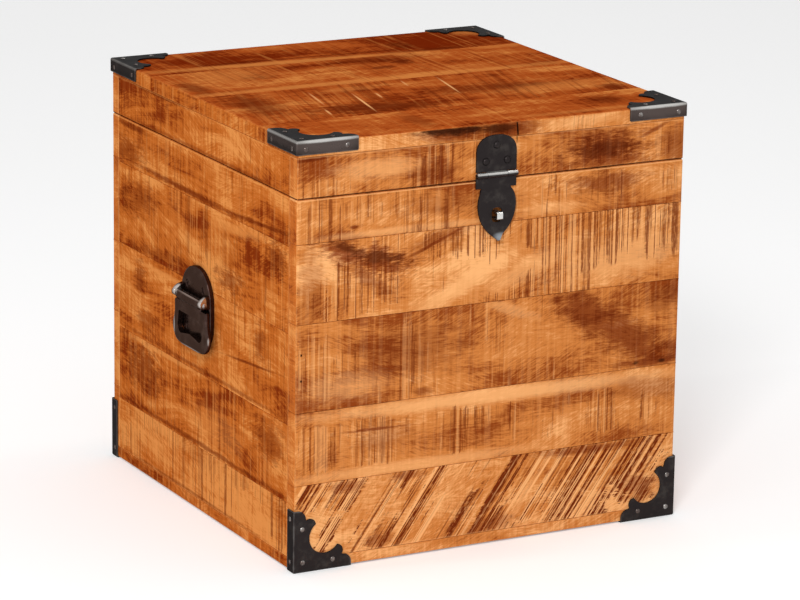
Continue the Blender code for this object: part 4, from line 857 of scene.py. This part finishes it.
def ordinary_looks(first, names, burnt, even):
    """Looks of boards that the photograph doesn't show, seeded one by one."""
    looks = {}
    for step, name in enumerate(names):
        low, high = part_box(name)
        middle = (low + high) / 2
        along = 0.11 * math.sin(2.3 * (first + step))
        across = middle.z if high.z - low.z > 0.02 else middle.y
        looks[name] = board_look(
            first + step, burnt=burnt, even=even, coverage=0.32 + 0.22 * (step % 2),
            angle=(0.0, -3.0, 4.0)[step % 3], shift=(0.04, -0.03, 0.02)[step % 3],
            patches=(("dark", (along, across), (0.06, 0.018), 8.0, 1.2, 0.6),
                     ("sawn", (along, across), (0.05, 0.03), 0.0, 0.5, 0.6),
                     ("pale", (-along, across), (0.09, 0.012), -4.0, 0.7, 0.45)))
    return looks


def numbered(prefix, count):
    """Names of the boards of one panel."""
    return [f"{prefix}_{number}" for number in range(1, count + 1)]


class STORAGEBOX_OT_front_boards(bpy.types.Operator):
    """Finish the front and back boards as sawn, honey-coloured wood"""
    bl_idname = "storagebox.front_boards"
    bl_label = "Front and back boards"

    def execute(self, context):
        wood = context.scene.storage_box_wood
        finish_panel(FRONT_LOOKS, "front", wood, "body")
        finish_panel(LID_FRONT_LOOK, "front", wood, "lid")
        finish_panel(ordinary_looks(31, numbered("back_board", 5), 0.8, 0.4), "front", wood, "body")
        finish_panel(ordinary_looks(36, ["lid_back_rail"], 0.8, 0.4), "front", wood, "lid")
        return {'FINISHED'}


class STORAGEBOX_OT_side_boards(bpy.types.Operator):
    """Finish the left and right boards as darker wood with fine saw marks"""
    bl_idname = "storagebox.side_boards"
    bl_label = "Side boards"

    def execute(self, context):
        wood = context.scene.storage_box_wood
        finish_panel(LEFT_LOOKS, "side", wood, "body")
        finish_panel(LID_LEFT_LOOK, "side", wood, "lid")
        finish_panel(ordinary_looks(41, numbered("right_board", 5), 0.5, 0.1), "side", wood, "body")
        finish_panel(ordinary_looks(46, ["lid_right_rail"], 0.5, 0.1), "side", wood, "lid")
        return {'FINISHED'}


class STORAGEBOX_OT_flat_boards(bpy.types.Operator):
    """Finish the lid's top and the box's bottom boards"""
    bl_idname = "storagebox.flat_boards"
    bl_label = "Top and bottom boards"

    def execute(self, context):
        wood = context.scene.storage_box_wood
        finish_panel(TOP_LOOKS, "flat", wood)
        finish_panel(ordinary_looks(51, numbered("bottom_board", 4), 0.3, 0.1), "flat", wood)
        return {'FINISHED'}


# Metal

# What blackened steel, the braces and the enamel of the handles reflect at a glance
STEEL_GLANCE = {"gloss_level": 0.25, "edge_tint": (0.16, 0.16, 0.16)}
BRACE_GLANCE = {"gloss_level": 0.08, "edge_tint": (0.08, 0.08, 0.08)}
CASTING_GLANCE = {"gloss_level": 0.05, "edge_tint": (0.47, 0.46, 0.44)}

# Strength and depth of the metal's relief
STEEL_BUMP = 0.35
STEEL_RELIEF = 0.0002

# How much smoother the metal is where it is worn and at its painted light, and how ragged a patch of
# painted light is
WORN_AND_SPOT_GLOSS = -0.10
SPOT_RAGGED = 0.25

# Depths below a brace's outer faces between which its painted light ends, and the height over
# which the handles' painted highlights set in
FLANGE_SKIN = (0.0022, 0.0014)
BEYOND_FADE = 0.002

# Angles above which an edge of the CAD's metal is rounded, and of a nail or screw sharp
ROUNDED_ANGLE = math.radians(40)
SHARP_ANGLE = math.radians(38)

# Distance within which the CAD's corner points are joined before its edges are rounded
WELD_DISTANCE = 0.00001


def metal(name, base, bloom, seed, metallic, gloss_shift=0.0, share=0.55, worn_and_lit_edges=None,
          painted_light_spots=(), shell=None, beyond=None, gloss_level=STEEL_GLANCE["gloss_level"],
          edge_tint=STEEL_GLANCE["edge_tint"]):
    """A blackened metal or an enamel.

    The edges of a box get wear and painted highlight from a colour, a strength and the
    box. Each patch of painted light holds a colour and a patch in the plane of the front,
    kept to the upright faces at x and y of shell where that is given. With beyond the
    patches lie in the plane of the sides and are kept to what stands out further than that.
    """
    material, bench, shader = new_material(name)
    place = bench.add("TexCoord").outputs["Object"]
    skin = bench.group("Forged skin", {
        "Position": place, "Seed": seed, "Base": (*base, 1.0), "Bloom": (*bloom, 1.0),
        "Bloom Share": share,
    })
    colour = skin["Color"]
    rough = bench.calc('ADD', skin["Roughness"], gloss_shift)
    # Wear and painted highlight along the box's edges, where the bends catch the light
    if worn_and_lit_edges is not None:
        worn_lit_colour, strength, (low, high) = worn_and_lit_edges
        wear = bench.group("Worn and lit edge", {
            "Position": place, "Low": tuple(low), "High": tuple(high), "Width": STEEL_WEAR_AND_HIGHLIGHT,
        })[0]
        wear = bench.calc('MULTIPLY', wear, strength)
        colour = bench.blend(wear, colour, (*worn_lit_colour, 1.0))
        rough = bench.calc('MULTIPLY_ADD', wear, WORN_AND_SPOT_GLOSS, rough)
    x, y, z = bench.parts(place)[:3]
    near = 1.0
    if shell is not None:
        gaps = [bench.calc('ABSOLUTE', bench.calc('SUBTRACT', spot, face))
                for spot, face in zip((x, y), shell)]
        near = bench.ease(bench.calc('MINIMUM', *gaps), *FLANGE_SKIN)
    flat = bench.join(x, z, y)
    if beyond is not None:
        flat = bench.join(y, z, x)
        near = bench.ease(bench.calc('ABSOLUTE', x), beyond, beyond + BEYOND_FADE)
    uneven = rough_outline(bench, flat)
    # Painted highlights, lit faces, shade and reflections, each a patch of colour
    for spot_colour, centre, size, strength in painted_light_spots:
        patch = bench.group("Placed patch", {
            "Position": flat, "Centre": (*centre, 0.0), "Size": (*size, 1.0), "Rough": uneven,
            "Ragged": SPOT_RAGGED, "Strength": strength,
        })[0]
        patch = bench.calc('MULTIPLY', patch, near)
        colour = bench.blend(patch, colour, (*spot_colour, 1.0))
        rough = bench.calc('MULTIPLY_ADD', patch, WORN_AND_SPOT_GLOSS, rough)
    bench.finish_surface(shader, colour, rough, skin["Height"], STEEL_BUMP, STEEL_RELIEF)
    shader.inputs["Metallic"].default_value = metallic
    shader.inputs["Specular IOR Level"].default_value = gloss_level
    shader.inputs["Specular Tint"].default_value = (*edge_tint, 1.0)
    return material


def placed_light_spots(hardware, painted_light_spots, across, above, share=1.0):
    """Patches of painted light moved to a place and weakened to a share, with the colours of their
    settings.

    A patch is the name of its colour's setting, its centre, its half sizes and its strength.
    """
    return [(getattr(hardware, colour), (across + centre[0], above + centre[1]), size,
             share * strength) for colour, centre, size, strength in painted_light_spots]


def round_edges(node, radius, segments=2):
    """Round a metal node's sharp edges, so that they catch the light."""
    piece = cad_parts[node]
    weld = piece.modifiers.new("Weld", 'WELD')
    weld.merge_threshold = WELD_DISTANCE
    bevel = piece.modifiers.new("Edges", 'BEVEL')
    bevel.width = radius
    bevel.segments = segments
    bevel.limit_method = 'ANGLE'
    bevel.angle_limit = ROUNDED_ANGLE
    bevel.harden_normals = True


# Rings of a nail head, in shares of its radius and height, and how uneven they are
DOME_RINGS = ((1.0, -0.12), (1.0, 0.10), (0.86, 0.55), (0.52, 0.9))
DOME_DENT = 0.07


def dome(bm, centre, normal, radius, height, seed, sides=12):
    """A hammered nail head that sits on a surface."""
    turn = Vector(normal).to_track_quat('Z', 'Y')
    rings = []
    for share, rise in DOME_RINGS:
        ring = []
        for side in range(sides):
            angle = 2 * math.pi * side / sides
            bump = noise.noise(Vector((seed * 3.1, math.cos(angle), math.sin(angle))))
            dent = 1 + DOME_DENT * bump
            reach = radius * share * dent
            spot = Vector((reach * math.cos(angle), reach * math.sin(angle), height * rise))
            ring.append(bm.verts.new(Vector(centre) + turn @ spot))
        rings.append(ring)
    for near, far in zip(rings, rings[1:]):
        for side in range(sides):
            following = (side + 1) % sides
            bm.faces.new((near[side], near[following], far[following], far[side]))
    tip = bm.verts.new(Vector(centre) + turn @ Vector((0, 0, height)))
    for side in range(sides):
        bm.faces.new((rings[-1][side], rings[-1][(side + 1) % sides], tip))
    bm.faces.new(list(reversed(rings[0])))


# Half the width and the depth of a screw's slot, in shares of the head's radius
SLOT_HALF = 0.16
SLOT_DEPTH = 0.35


def slotted_head(bm, centre, normal, radius, crown, sink, slot_turn):
    """A countersunk screw head: two half moons on a disc, with the slot between them."""
    turn = Vector(normal).to_track_quat('Z', 'Y') @ Matrix.Rotation(slot_turn, 3, 'Z').to_quaternion()
    half_slot = radius * SLOT_HALF

    def solid(outlines):
        """A closed form through outlines that lie at their own heights."""
        loops = []
        for points, height in outlines:
            loops.append([bm.verts.new(Vector(centre) + turn @ Vector((x, y, height)))
                          for x, y in points])
        for near, far in zip(loops, loops[1:]):
            for spot in range(len(near)):
                following = (spot + 1) % len(near)
                bm.faces.new((near[spot], near[following], far[following], far[spot]))
        bm.faces.new(list(reversed(loops[0])))
        bm.faces.new(loops[-1])

    def circle(share, sides=20):
        """Points of a circle of a share of the radius."""
        return [(radius * share * math.cos(2 * math.pi * step / sides),
                 radius * share * math.sin(2 * math.pi * step / sides)) for step in range(sides)]

    def moon(share, facing, steps=8):
        """Points of the half circle on one side of the slot."""
        start = math.asin(half_slot / (radius * share))
        points = []
        for step in range(steps + 1):
            angle = start + (math.pi - 2 * start) * step / steps
            points.append((facing * radius * share * math.cos(angle),
                           facing * radius * share * math.sin(angle)))
        return points

    floor = crown - SLOT_DEPTH * radius
    solid(((circle(0.55), -sink), (circle(0.90), floor)))
    for facing in (1, -1):
        solid(((moon(0.90, facing), floor - 0.00005), (moon(1.0, facing), crown - 0.10 * radius),
               (moon(0.86, facing), crown)))


def add_hardware(name, bm, body, material):
    """Turn a built mesh into a piece that rides on a body."""
    bmesh.ops.recalc_face_normals(bm, faces=bm.faces)
    mesh = bpy.data.meshes.new(name)
    bm.to_mesh(mesh)
    bm.free()
    mesh.shade_smooth()
    mesh.set_sharp_from_angle(angle=SHARP_ANGLE)
    mesh.materials.append(material)
    piece = bpy.data.objects.new(name, mesh)
    bpy.context.scene.collection.objects.link(piece)
    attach(piece, body)


BRACES = [(level, depth, end) for level in ("lid", "base")
          for depth in ("front", "back") for end in ("left", "right")]

# Nails of a brace: on its plate, and along and across each of its two flanges
PLATE_NAILS = ((0.0095, 0.0095), (0.0090, 0.0410), (0.0400, 0.0090))
FLANGE_NAILS = ((0.0095, 0.0080), (0.0505, 0.0075))

# Painted light on a lid brace's flanges, from the middle of its upper edge: the lit face and
# a painted highlight along the bend. The braces at the back have a share of them
FLANGE_PAINTED_LIGHT = (("lit_flange_and_nail_steel", (0.0, -0.0035), (0.045, 0.0120), 0.9),
               ("bare_steel_and_highlight", (0.0, -0.0010), (0.036, 0.0018), 1.0))
BACK_BRACE_LIGHT_SHARE = 0.4

# Wear and painted highlight along the edges and bends of a brace, and the share of bloom on the lid's
# and the base's; the lid's smaller share darkens them as painted shade
BRACE_WEAR_AND_HIGHLIGHT = 0.18
BRACE_BLOOM = {"lid": 0.30, "base": 0.55}


def brace_frame(level, depth, end):
    """Outer corner of a brace, and its directions: two along the plate, one down."""
    low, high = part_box(f"{level}_brace_{depth}_{end}")
    along = Vector((1, 0, 0)) if end == "left" else Vector((-1, 0, 0))
    inward = Vector((0, 1, 0)) if depth == "front" else Vector((0, -1, 0))
    upright = Vector((0, 0, -1)) if level == "lid" else Vector((0, 0, 1))
    corner = Vector((low.x if end == "left" else high.x, low.y if depth == "front" else high.y,
                     high.z if level == "lid" else low.z))
    if level == "lid":
        return corner, (along, inward, upright)
    return corner, (along, upright, inward)


class STORAGEBOX_OT_braces(bpy.types.Operator):
    """Finish the eight corner braces as blackened sheet steel and nail them on"""
    bl_idname = "storagebox.braces"
    bl_label = "Corner braces"

    def execute(self, context):
        hardware = context.scene.storage_box_hardware
        nail_metal = metal("brace_nail_steel", hardware.lit_flange_and_nail_steel, hardware.bare_steel_and_highlight, 9.0,
                           0.9, gloss_shift=-0.12, share=0.8)
        for number, (level, depth, end) in enumerate(BRACES):
            node = f"{level}_brace_{depth}_{end}"
            low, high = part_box(node)
            corner, (first, second, down) = brace_frame(level, depth, end)
            steel, painted_light_spots = hardware.black_steel, ()
            # The lid's braces take a darker copy of the steel as painted shade, and painted light on
            # their flanges
            if level == "lid":
                steel = hardware.shaded_lid_steel
                painted_light_spots = placed_light_spots(hardware, FLANGE_PAINTED_LIGHT, (low.x + high.x) / 2, high.z,
                                   1.0 if depth == "front" else BACK_BRACE_LIGHT_SHARE)
            dress(node, metal(node + "_steel", steel, hardware.steel_bloom, float(number), 0.7,
                              share=BRACE_BLOOM[level], painted_light_spots=painted_light_spots, shell=corner.xy,
                              worn_and_lit_edges=(hardware.bare_steel_and_highlight, BRACE_WEAR_AND_HIGHLIGHT, (low, high)),
                              **BRACE_GLANCE))
            round_edges(node, hardware.edge_radius)
            bm = bmesh.new()
            spots = [(corner + first * a + second * b, -down) for a, b in PLATE_NAILS]
            for a, b in FLANGE_NAILS:
                spots.append((corner + first * a + down * b, -second))
                spots.append((corner + second * a + down * b, -first))
            for seed, (spot, normal) in enumerate(spots):
                if normal.z < -0.5:
                    continue
                dome(bm, spot, normal, hardware.nail_radius, hardware.nail_height,
                     10.0 * number + seed)
            body = {"lid": "lid", "base": "box"}[level]
            add_hardware(node + "_nails", bm, body, nail_metal)
        return {'FINISHED'}


# Sheet of the hasp, and its nails across it and above its pin
HASP_SHEET = 0.0016
HASP_NAILS = ((0.0, 0.0273), (-0.0110, 0.0125), (0.0110, 0.0125))

# Painted light on the hasp: a painted highlight on its barrel and painted shade under it,
# from its pin, and a painted reflection on the strap's tip, from its lower end
BARREL_LIGHT_AND_SHADE = (("bare_steel_and_highlight", (0.0, 0.0016), (0.035, 0.0013), 1.0),
               ("cast_iron", (0.0, -0.0020), (0.035, 0.0012), 0.8))
TIP_REFLECTION = (("strap_tip_reflection", (0.004, 0.0025), (0.0075, 0.0042), 0.9),)


class STORAGEBOX_OT_hasp(bpy.types.Operator):
    """Finish the hasp and its pin, nail its plate on and plate the staple"""
    bl_idname = "storagebox.hasp"
    bl_label = "Hasp and staple"

    def execute(self, context):
        hardware = context.scene.storage_box_hardware
        pin_low, pin_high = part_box("hasp_pin")
        axis = (pin_low.z + pin_high.z) / 2
        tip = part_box("hasp_strap")[0].z
        painted_light_spots = (placed_light_spots(hardware, BARREL_LIGHT_AND_SHADE, 0.0, axis)
                + placed_light_spots(hardware, TIP_REFLECTION, 0.0, tip))
        plate = metal("hasp_steel", hardware.black_steel, hardware.steel_bloom, 12.0, 0.7,
                      gloss_shift=-0.04, painted_light_spots=painted_light_spots)
        pin = metal("hasp_pin_steel", hardware.black_steel, hardware.bare_steel_and_highlight, 13.0, 0.8,
                    gloss_shift=-0.06)
        for node in ("hasp_plate", "hasp_strap"):
            dress(node, plate)
            round_edges(node, hardware.edge_radius)
        dress("hasp_pin", pin)
        dress("staple", metal("staple_zinc", hardware.zinc, hardware.bare_steel_and_highlight, 14.0, 1.0,
                              gloss_shift=-0.10))
        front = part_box("lid_front_rail")[0].y
        bm = bmesh.new()
        for seed, (across, above) in enumerate(HASP_NAILS):
            spot = Vector((across, front - SEAT_GAP - HASP_SHEET, axis + above))
            dome(bm, spot, (0, -1, 0), hardware.hasp_nail_radius, hardware.hasp_nail_height,
                 90.0 + seed)
        add_hardware("hasp_nails", bm, "lid", plate)
        return {'FINISHED'}


# Thickness of a handle's plate, how far its screws are sunk in it, and where they are
# across it and above its middle, with the radius and the depth of their heads
HANDLE_PLATE = 0.0048
HANDLE_SCREW_SINK = 0.0002
HANDLE_SCREWS = ((0.0168, 0.0208), (-0.0168, 0.0208), (0.0168, -0.0208), (-0.0168, -0.0208))
HANDLE_SCREW_RADIUS = 0.0031
HANDLE_SCREW_DEPTH = 0.0012

# Radius of the pin that a bail swings on, and how far the lugs stand off the wall
BAIL_PIN_RADIUS = 0.0029
LUG_STAND = 0.0070

# Painted highlights on a handle, from its pin: on the lugs' noses, the ridge between them,
# and the bail's grip and sides
HANDLE_HIGHLIGHTS = (("iron_highlight", (-0.0282, 0.0040), (0.0042, 0.0048), 0.95),
               ("iron_highlight", (0.0282, 0.0040), (0.0042, 0.0048), 0.95),
               ("iron_ridge_highlight", (0.0, 0.0040), (0.0270, 0.0011), 0.9),
               ("iron_highlight", (0.0, -0.0478), (0.0300, 0.0013), 0.55),
               ("iron_highlight", (-0.0365, -0.0330), (0.0013, 0.0110), 0.6),
               ("iron_highlight", (0.0365, -0.0330), (0.0013, 0.0110), 0.6))


class STORAGEBOX_OT_handles(bpy.types.Operator):
    """Finish the drop handles as enamelled castings and screw their plates on"""
    bl_idname = "storagebox.handles"
    bl_label = "Drop handles"

    def execute(self, context):
        hardware = context.scene.storage_box_hardware
        wall = -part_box("left_handle_plate")[1].x
        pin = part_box("left_handle_pin")[0].z + BAIL_PIN_RADIUS
        casting = metal("handle_casting", hardware.cast_iron, hardware.iron_rub, 15.0, 0.9,
                        gloss_shift=-0.18, share=0.35, beyond=wall + LUG_STAND,
                        painted_light_spots=placed_light_spots(hardware, HANDLE_HIGHLIGHTS, 0.0, pin), **CASTING_GLANCE)
        screw = metal("handle_screw_iron", hardware.cast_iron, hardware.iron_rub, 16.0, 0.9,
                      gloss_shift=-0.05, **CASTING_GLANCE)
        for side, out in (("left", -1.0), ("right", 1.0)):
            for part in ("plate", "bail", "pin"):
                dress(f"{side}_handle_{part}", casting)
            round_edges(f"{side}_handle_plate", hardware.casting_radius, 3)
            round_edges(f"{side}_handle_bail", 2 * hardware.casting_radius, 4)
            low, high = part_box(f"{side}_handle_plate")
            wall = low.x if side == "right" else high.x
            bm = bmesh.new()
            for turn, (across, above) in enumerate(HANDLE_SCREWS):
                spot = Vector((wall + out * (HANDLE_PLATE - HANDLE_SCREW_SINK),
                               (low.y + high.y) / 2 + across, (low.z + high.z) / 2 + above))
                slotted_head(bm, spot, (out, 0, 0), HANDLE_SCREW_RADIUS, 0.0, HANDLE_SCREW_DEPTH,
                             0.7 + 1.3 * turn)
            add_hardware(f"{side}_handle_screws", bm, "box", screw)
        return {'FINISHED'}


# Sheet of the hinges, and their screws: along them, away from the pin, and how far the
# heads stand out of the leaf and reach into it
HINGE_SHEET = 0.0014
HINGE_SCREWS = (-0.0205, 0.0, 0.0205)
HINGE_SCREW_AWAY = 0.0140
HINGE_SCREW_CROWN = 0.0011
HINGE_SCREW_SINK = 0.0001


class STORAGEBOX_OT_hinges(bpy.types.Operator):
    """Finish the hinges at the back and screw their leaves on"""
    bl_idname = "storagebox.hinges"
    bl_label = "Hinges"

    def execute(self, context):
        hardware = context.scene.storage_box_hardware
        leaf = metal("hinge_steel", hardware.black_steel, hardware.steel_bloom, 17.0, 0.7)
        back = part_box("lid_back_rail")[1].y
        for side in ("left", "right"):
            pin_low, pin_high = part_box(f"{side}_hinge_pin")
            axis = (pin_low + pin_high) / 2
            for part, body, way in (("body_leaf", "box", -1), ("lid_leaf", "lid", 1)):
                dress(f"{side}_hinge_{part}", leaf)
                round_edges(f"{side}_hinge_{part}", hardware.edge_radius)
                bm = bmesh.new()
                for turn, across in enumerate(HINGE_SCREWS):
                    spot = Vector((axis.x + across, back + SEAT_GAP + HINGE_SHEET,
                                   axis.z + way * HINGE_SCREW_AWAY))
                    slotted_head(bm, spot, (0, 1, 0), hardware.hinge_screw_radius,
                                 HINGE_SCREW_CROWN, HINGE_SCREW_SINK, 0.4 + 1.1 * turn)
                add_hardware(f"{side}_hinge_{part}_screws", bm, body, leaf)
            dress(f"{side}_hinge_pin", leaf)
        return {'FINISHED'}


# Studio

# Where the photograph was taken from, solved from the box's corners
CAMERA_PLACE = Vector((-1.7025, -3.1981, 1.1596))
CAMERA_AZIMUTH = math.radians(-28.1701)
CAMERA_ELEVATION = math.radians(15.0553)
CAMERA_ROLL = math.radians(0.8754)

# How far the floor reaches from the box each way
FLOOR_REACH = 12.0

# Softboxes: name, place, target, width and share of the main softbox's power
SOFTBOXES = (("key_softbox", (-1.7, -2.4, 2.0), (0.0, 0.0, 0.2), 0.70, 1.0),
             ("side_softbox", (-2.3, 0.3, 1.7), (-0.2, 0.0, 0.2), 0.22, 0.08),
             ("rim_softbox", (1.1, 0.0, 2.4), (0.0, 0.0, 0.3), 0.28, 0.08))


def add_softbox(name, place, target, width, power):
    """A square area light that faces its target."""
    light = bpy.data.lights.new(name, 'AREA')
    light.shape = 'SQUARE'
    light.size = width
    light.energy = power
    lamp = bpy.data.objects.new(name, light)
    bpy.context.scene.collection.objects.link(lamp)
    lamp.location = place
    lamp.rotation_euler = (Vector(target) - Vector(place)).to_track_quat('-Z', 'Y').to_euler()


def seen_directly(bench):
    """One for what the camera sees itself, in a gloss or through glass, and else nothing."""
    rays = bench.add("LightPath").outputs
    direct = bench.calc('MAXIMUM', rays["Is Camera Ray"], rays["Is Glossy Ray"])
    return bench.calc('MAXIMUM', direct, rays["Is Transmission Ray"])


def add_floor(studio):
    """A wide pale floor, lit up to white where it is seen, which keeps its shadows."""
    bm = bmesh.new()
    bmesh.ops.create_grid(bm, x_segments=4, y_segments=4, size=FLOOR_REACH)
    mesh = bpy.data.meshes.new("studio_floor")
    bm.to_mesh(mesh)
    bm.free()
    floor = bpy.data.objects.new("studio_floor", mesh)
    bpy.context.scene.collection.objects.link(floor)
    material, bench, shader = new_material("studio_floor")
    place = bench.add("TexCoord").outputs["Object"]
    rough = bench.ease(bench.speckle(place, 3.0), 0.3, 0.7, 0.7, 0.85)
    glow = bench.calc('MULTIPLY', seen_directly(bench), studio.floor_glow)
    bench.tree.links.new(rough, shader.inputs["Roughness"])
    bench.tree.links.new(glow, shader.inputs["Emission Strength"])
    shader.inputs["Base Color"].default_value = (*studio.floor, 1.0)
    shader.inputs["Emission Color"].default_value = (1.0, 1.0, 1.0, 1.0)
    shader.inputs["Specular IOR Level"].default_value = 0.1
    mesh.materials.append(material)


def add_surroundings(studio):
    """A world that is white where it is seen and gives the fill light."""
    world = bpy.data.worlds.new("studio")
    bpy.context.scene.world = world
    world.use_nodes = True
    bench = Bench(world.node_tree)
    plain = world.node_tree.nodes["Background"]
    level = bench.calc('MULTIPLY_ADD', seen_directly(bench), 1.0 - studio.fill_level,
                       studio.fill_level)
    plain.inputs["Color"].default_value = (1.0, 1.0, 1.0, 1.0)
    bench.tree.links.new(level, plain.inputs["Strength"])


def add_camera(lens):
    """The camera that took the photograph."""
    camera = bpy.data.cameras.new("photo_camera")
    camera.lens = lens
    camera.sensor_width = 36.0
    camera.clip_end = 100.0
    eye = bpy.data.objects.new("photo_camera", camera)
    bpy.context.scene.collection.objects.link(eye)
    back = Vector((math.sin(CAMERA_AZIMUTH) * math.cos(CAMERA_ELEVATION),
                   -math.cos(CAMERA_AZIMUTH) * math.cos(CAMERA_ELEVATION),
                   math.sin(CAMERA_ELEVATION)))
    right = Vector((0, 0, 1)).cross(back).normalized()
    up = back.cross(right)
    rolled_right = right * math.cos(CAMERA_ROLL) + up * math.sin(CAMERA_ROLL)
    rolled_up = up * math.cos(CAMERA_ROLL) - right * math.sin(CAMERA_ROLL)
    facing = Matrix((rolled_right, rolled_up, back)).transposed().to_4x4()
    eye.matrix_world = Matrix.Translation(CAMERA_PLACE) @ facing
    bpy.context.scene.camera = eye


class STORAGEBOX_OT_studio(bpy.types.Operator):
    """Set up the floor, the softboxes, the white surroundings and the camera"""
    bl_idname = "storagebox.studio"
    bl_label = "Studio"

    def execute(self, context):
        studio = context.scene.storage_box_studio
        context.scene.view_settings.view_transform = 'Standard'
        add_floor(studio)
        add_surroundings(studio)
        for name, place, target, width, share in SOFTBOXES:
            add_softbox(name, place, target, width, studio.key_power * share)
        add_camera(studio.lens)
        return {'FINISHED'}


STEPS = (
    STORAGEBOX_OT_studio,
    STORAGEBOX_OT_front_boards,
    STORAGEBOX_OT_side_boards,
    STORAGEBOX_OT_flat_boards,
    STORAGEBOX_OT_braces,
    STORAGEBOX_OT_hasp,
    STORAGEBOX_OT_handles,
    STORAGEBOX_OT_hinges,
)


class STORAGEBOX_PT_panel(bpy.types.Panel):
    """Lists the storage box's steps and settings"""
    bl_idname = "STORAGEBOX_PT_panel"
    bl_label = "Storage Box"
    bl_space_type = 'VIEW_3D'
    bl_region_type = 'UI'
    bl_category = "Storage Box"

    def draw(self, context):
        for step in STEPS:
            self.layout.operator(step.bl_idname)
        for group in (context.scene.storage_box_wood, context.scene.storage_box_hardware,
                      context.scene.storage_box_studio):
            box = self.layout.box()
            for name in group.__annotations__:
                box.prop(group, name)


SETTINGS = (WoodSettings, HardwareSettings, StudioSettings)


def register():
    """Add the settings, the operators and the panel."""
    for group in (*SETTINGS, *STEPS, STORAGEBOX_PT_panel):
        bpy.utils.register_class(group)
    bpy.types.Scene.storage_box_wood = PointerProperty(type=WoodSettings)
    bpy.types.Scene.storage_box_hardware = PointerProperty(type=HardwareSettings)
    bpy.types.Scene.storage_box_studio = PointerProperty(type=StudioSettings)


def unregister():
    """Take the panel, the operators and the settings away again."""
    del bpy.types.Scene.storage_box_wood
    del bpy.types.Scene.storage_box_hardware
    del bpy.types.Scene.storage_box_studio
    for group in reversed((*SETTINGS, *STEPS, STORAGEBOX_PT_panel)):
        bpy.utils.unregister_class(group)


def main():
    """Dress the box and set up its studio."""
    register()
    bpy.ops.storagebox.studio()
    bpy.ops.storagebox.front_boards()
    bpy.ops.storagebox.side_boards()
    bpy.ops.storagebox.flat_boards()
    bpy.ops.storagebox.braces()
    bpy.ops.storagebox.hasp()
    bpy.ops.storagebox.handles()
    bpy.ops.storagebox.hinges()


if __name__ == "__main__":
    main()
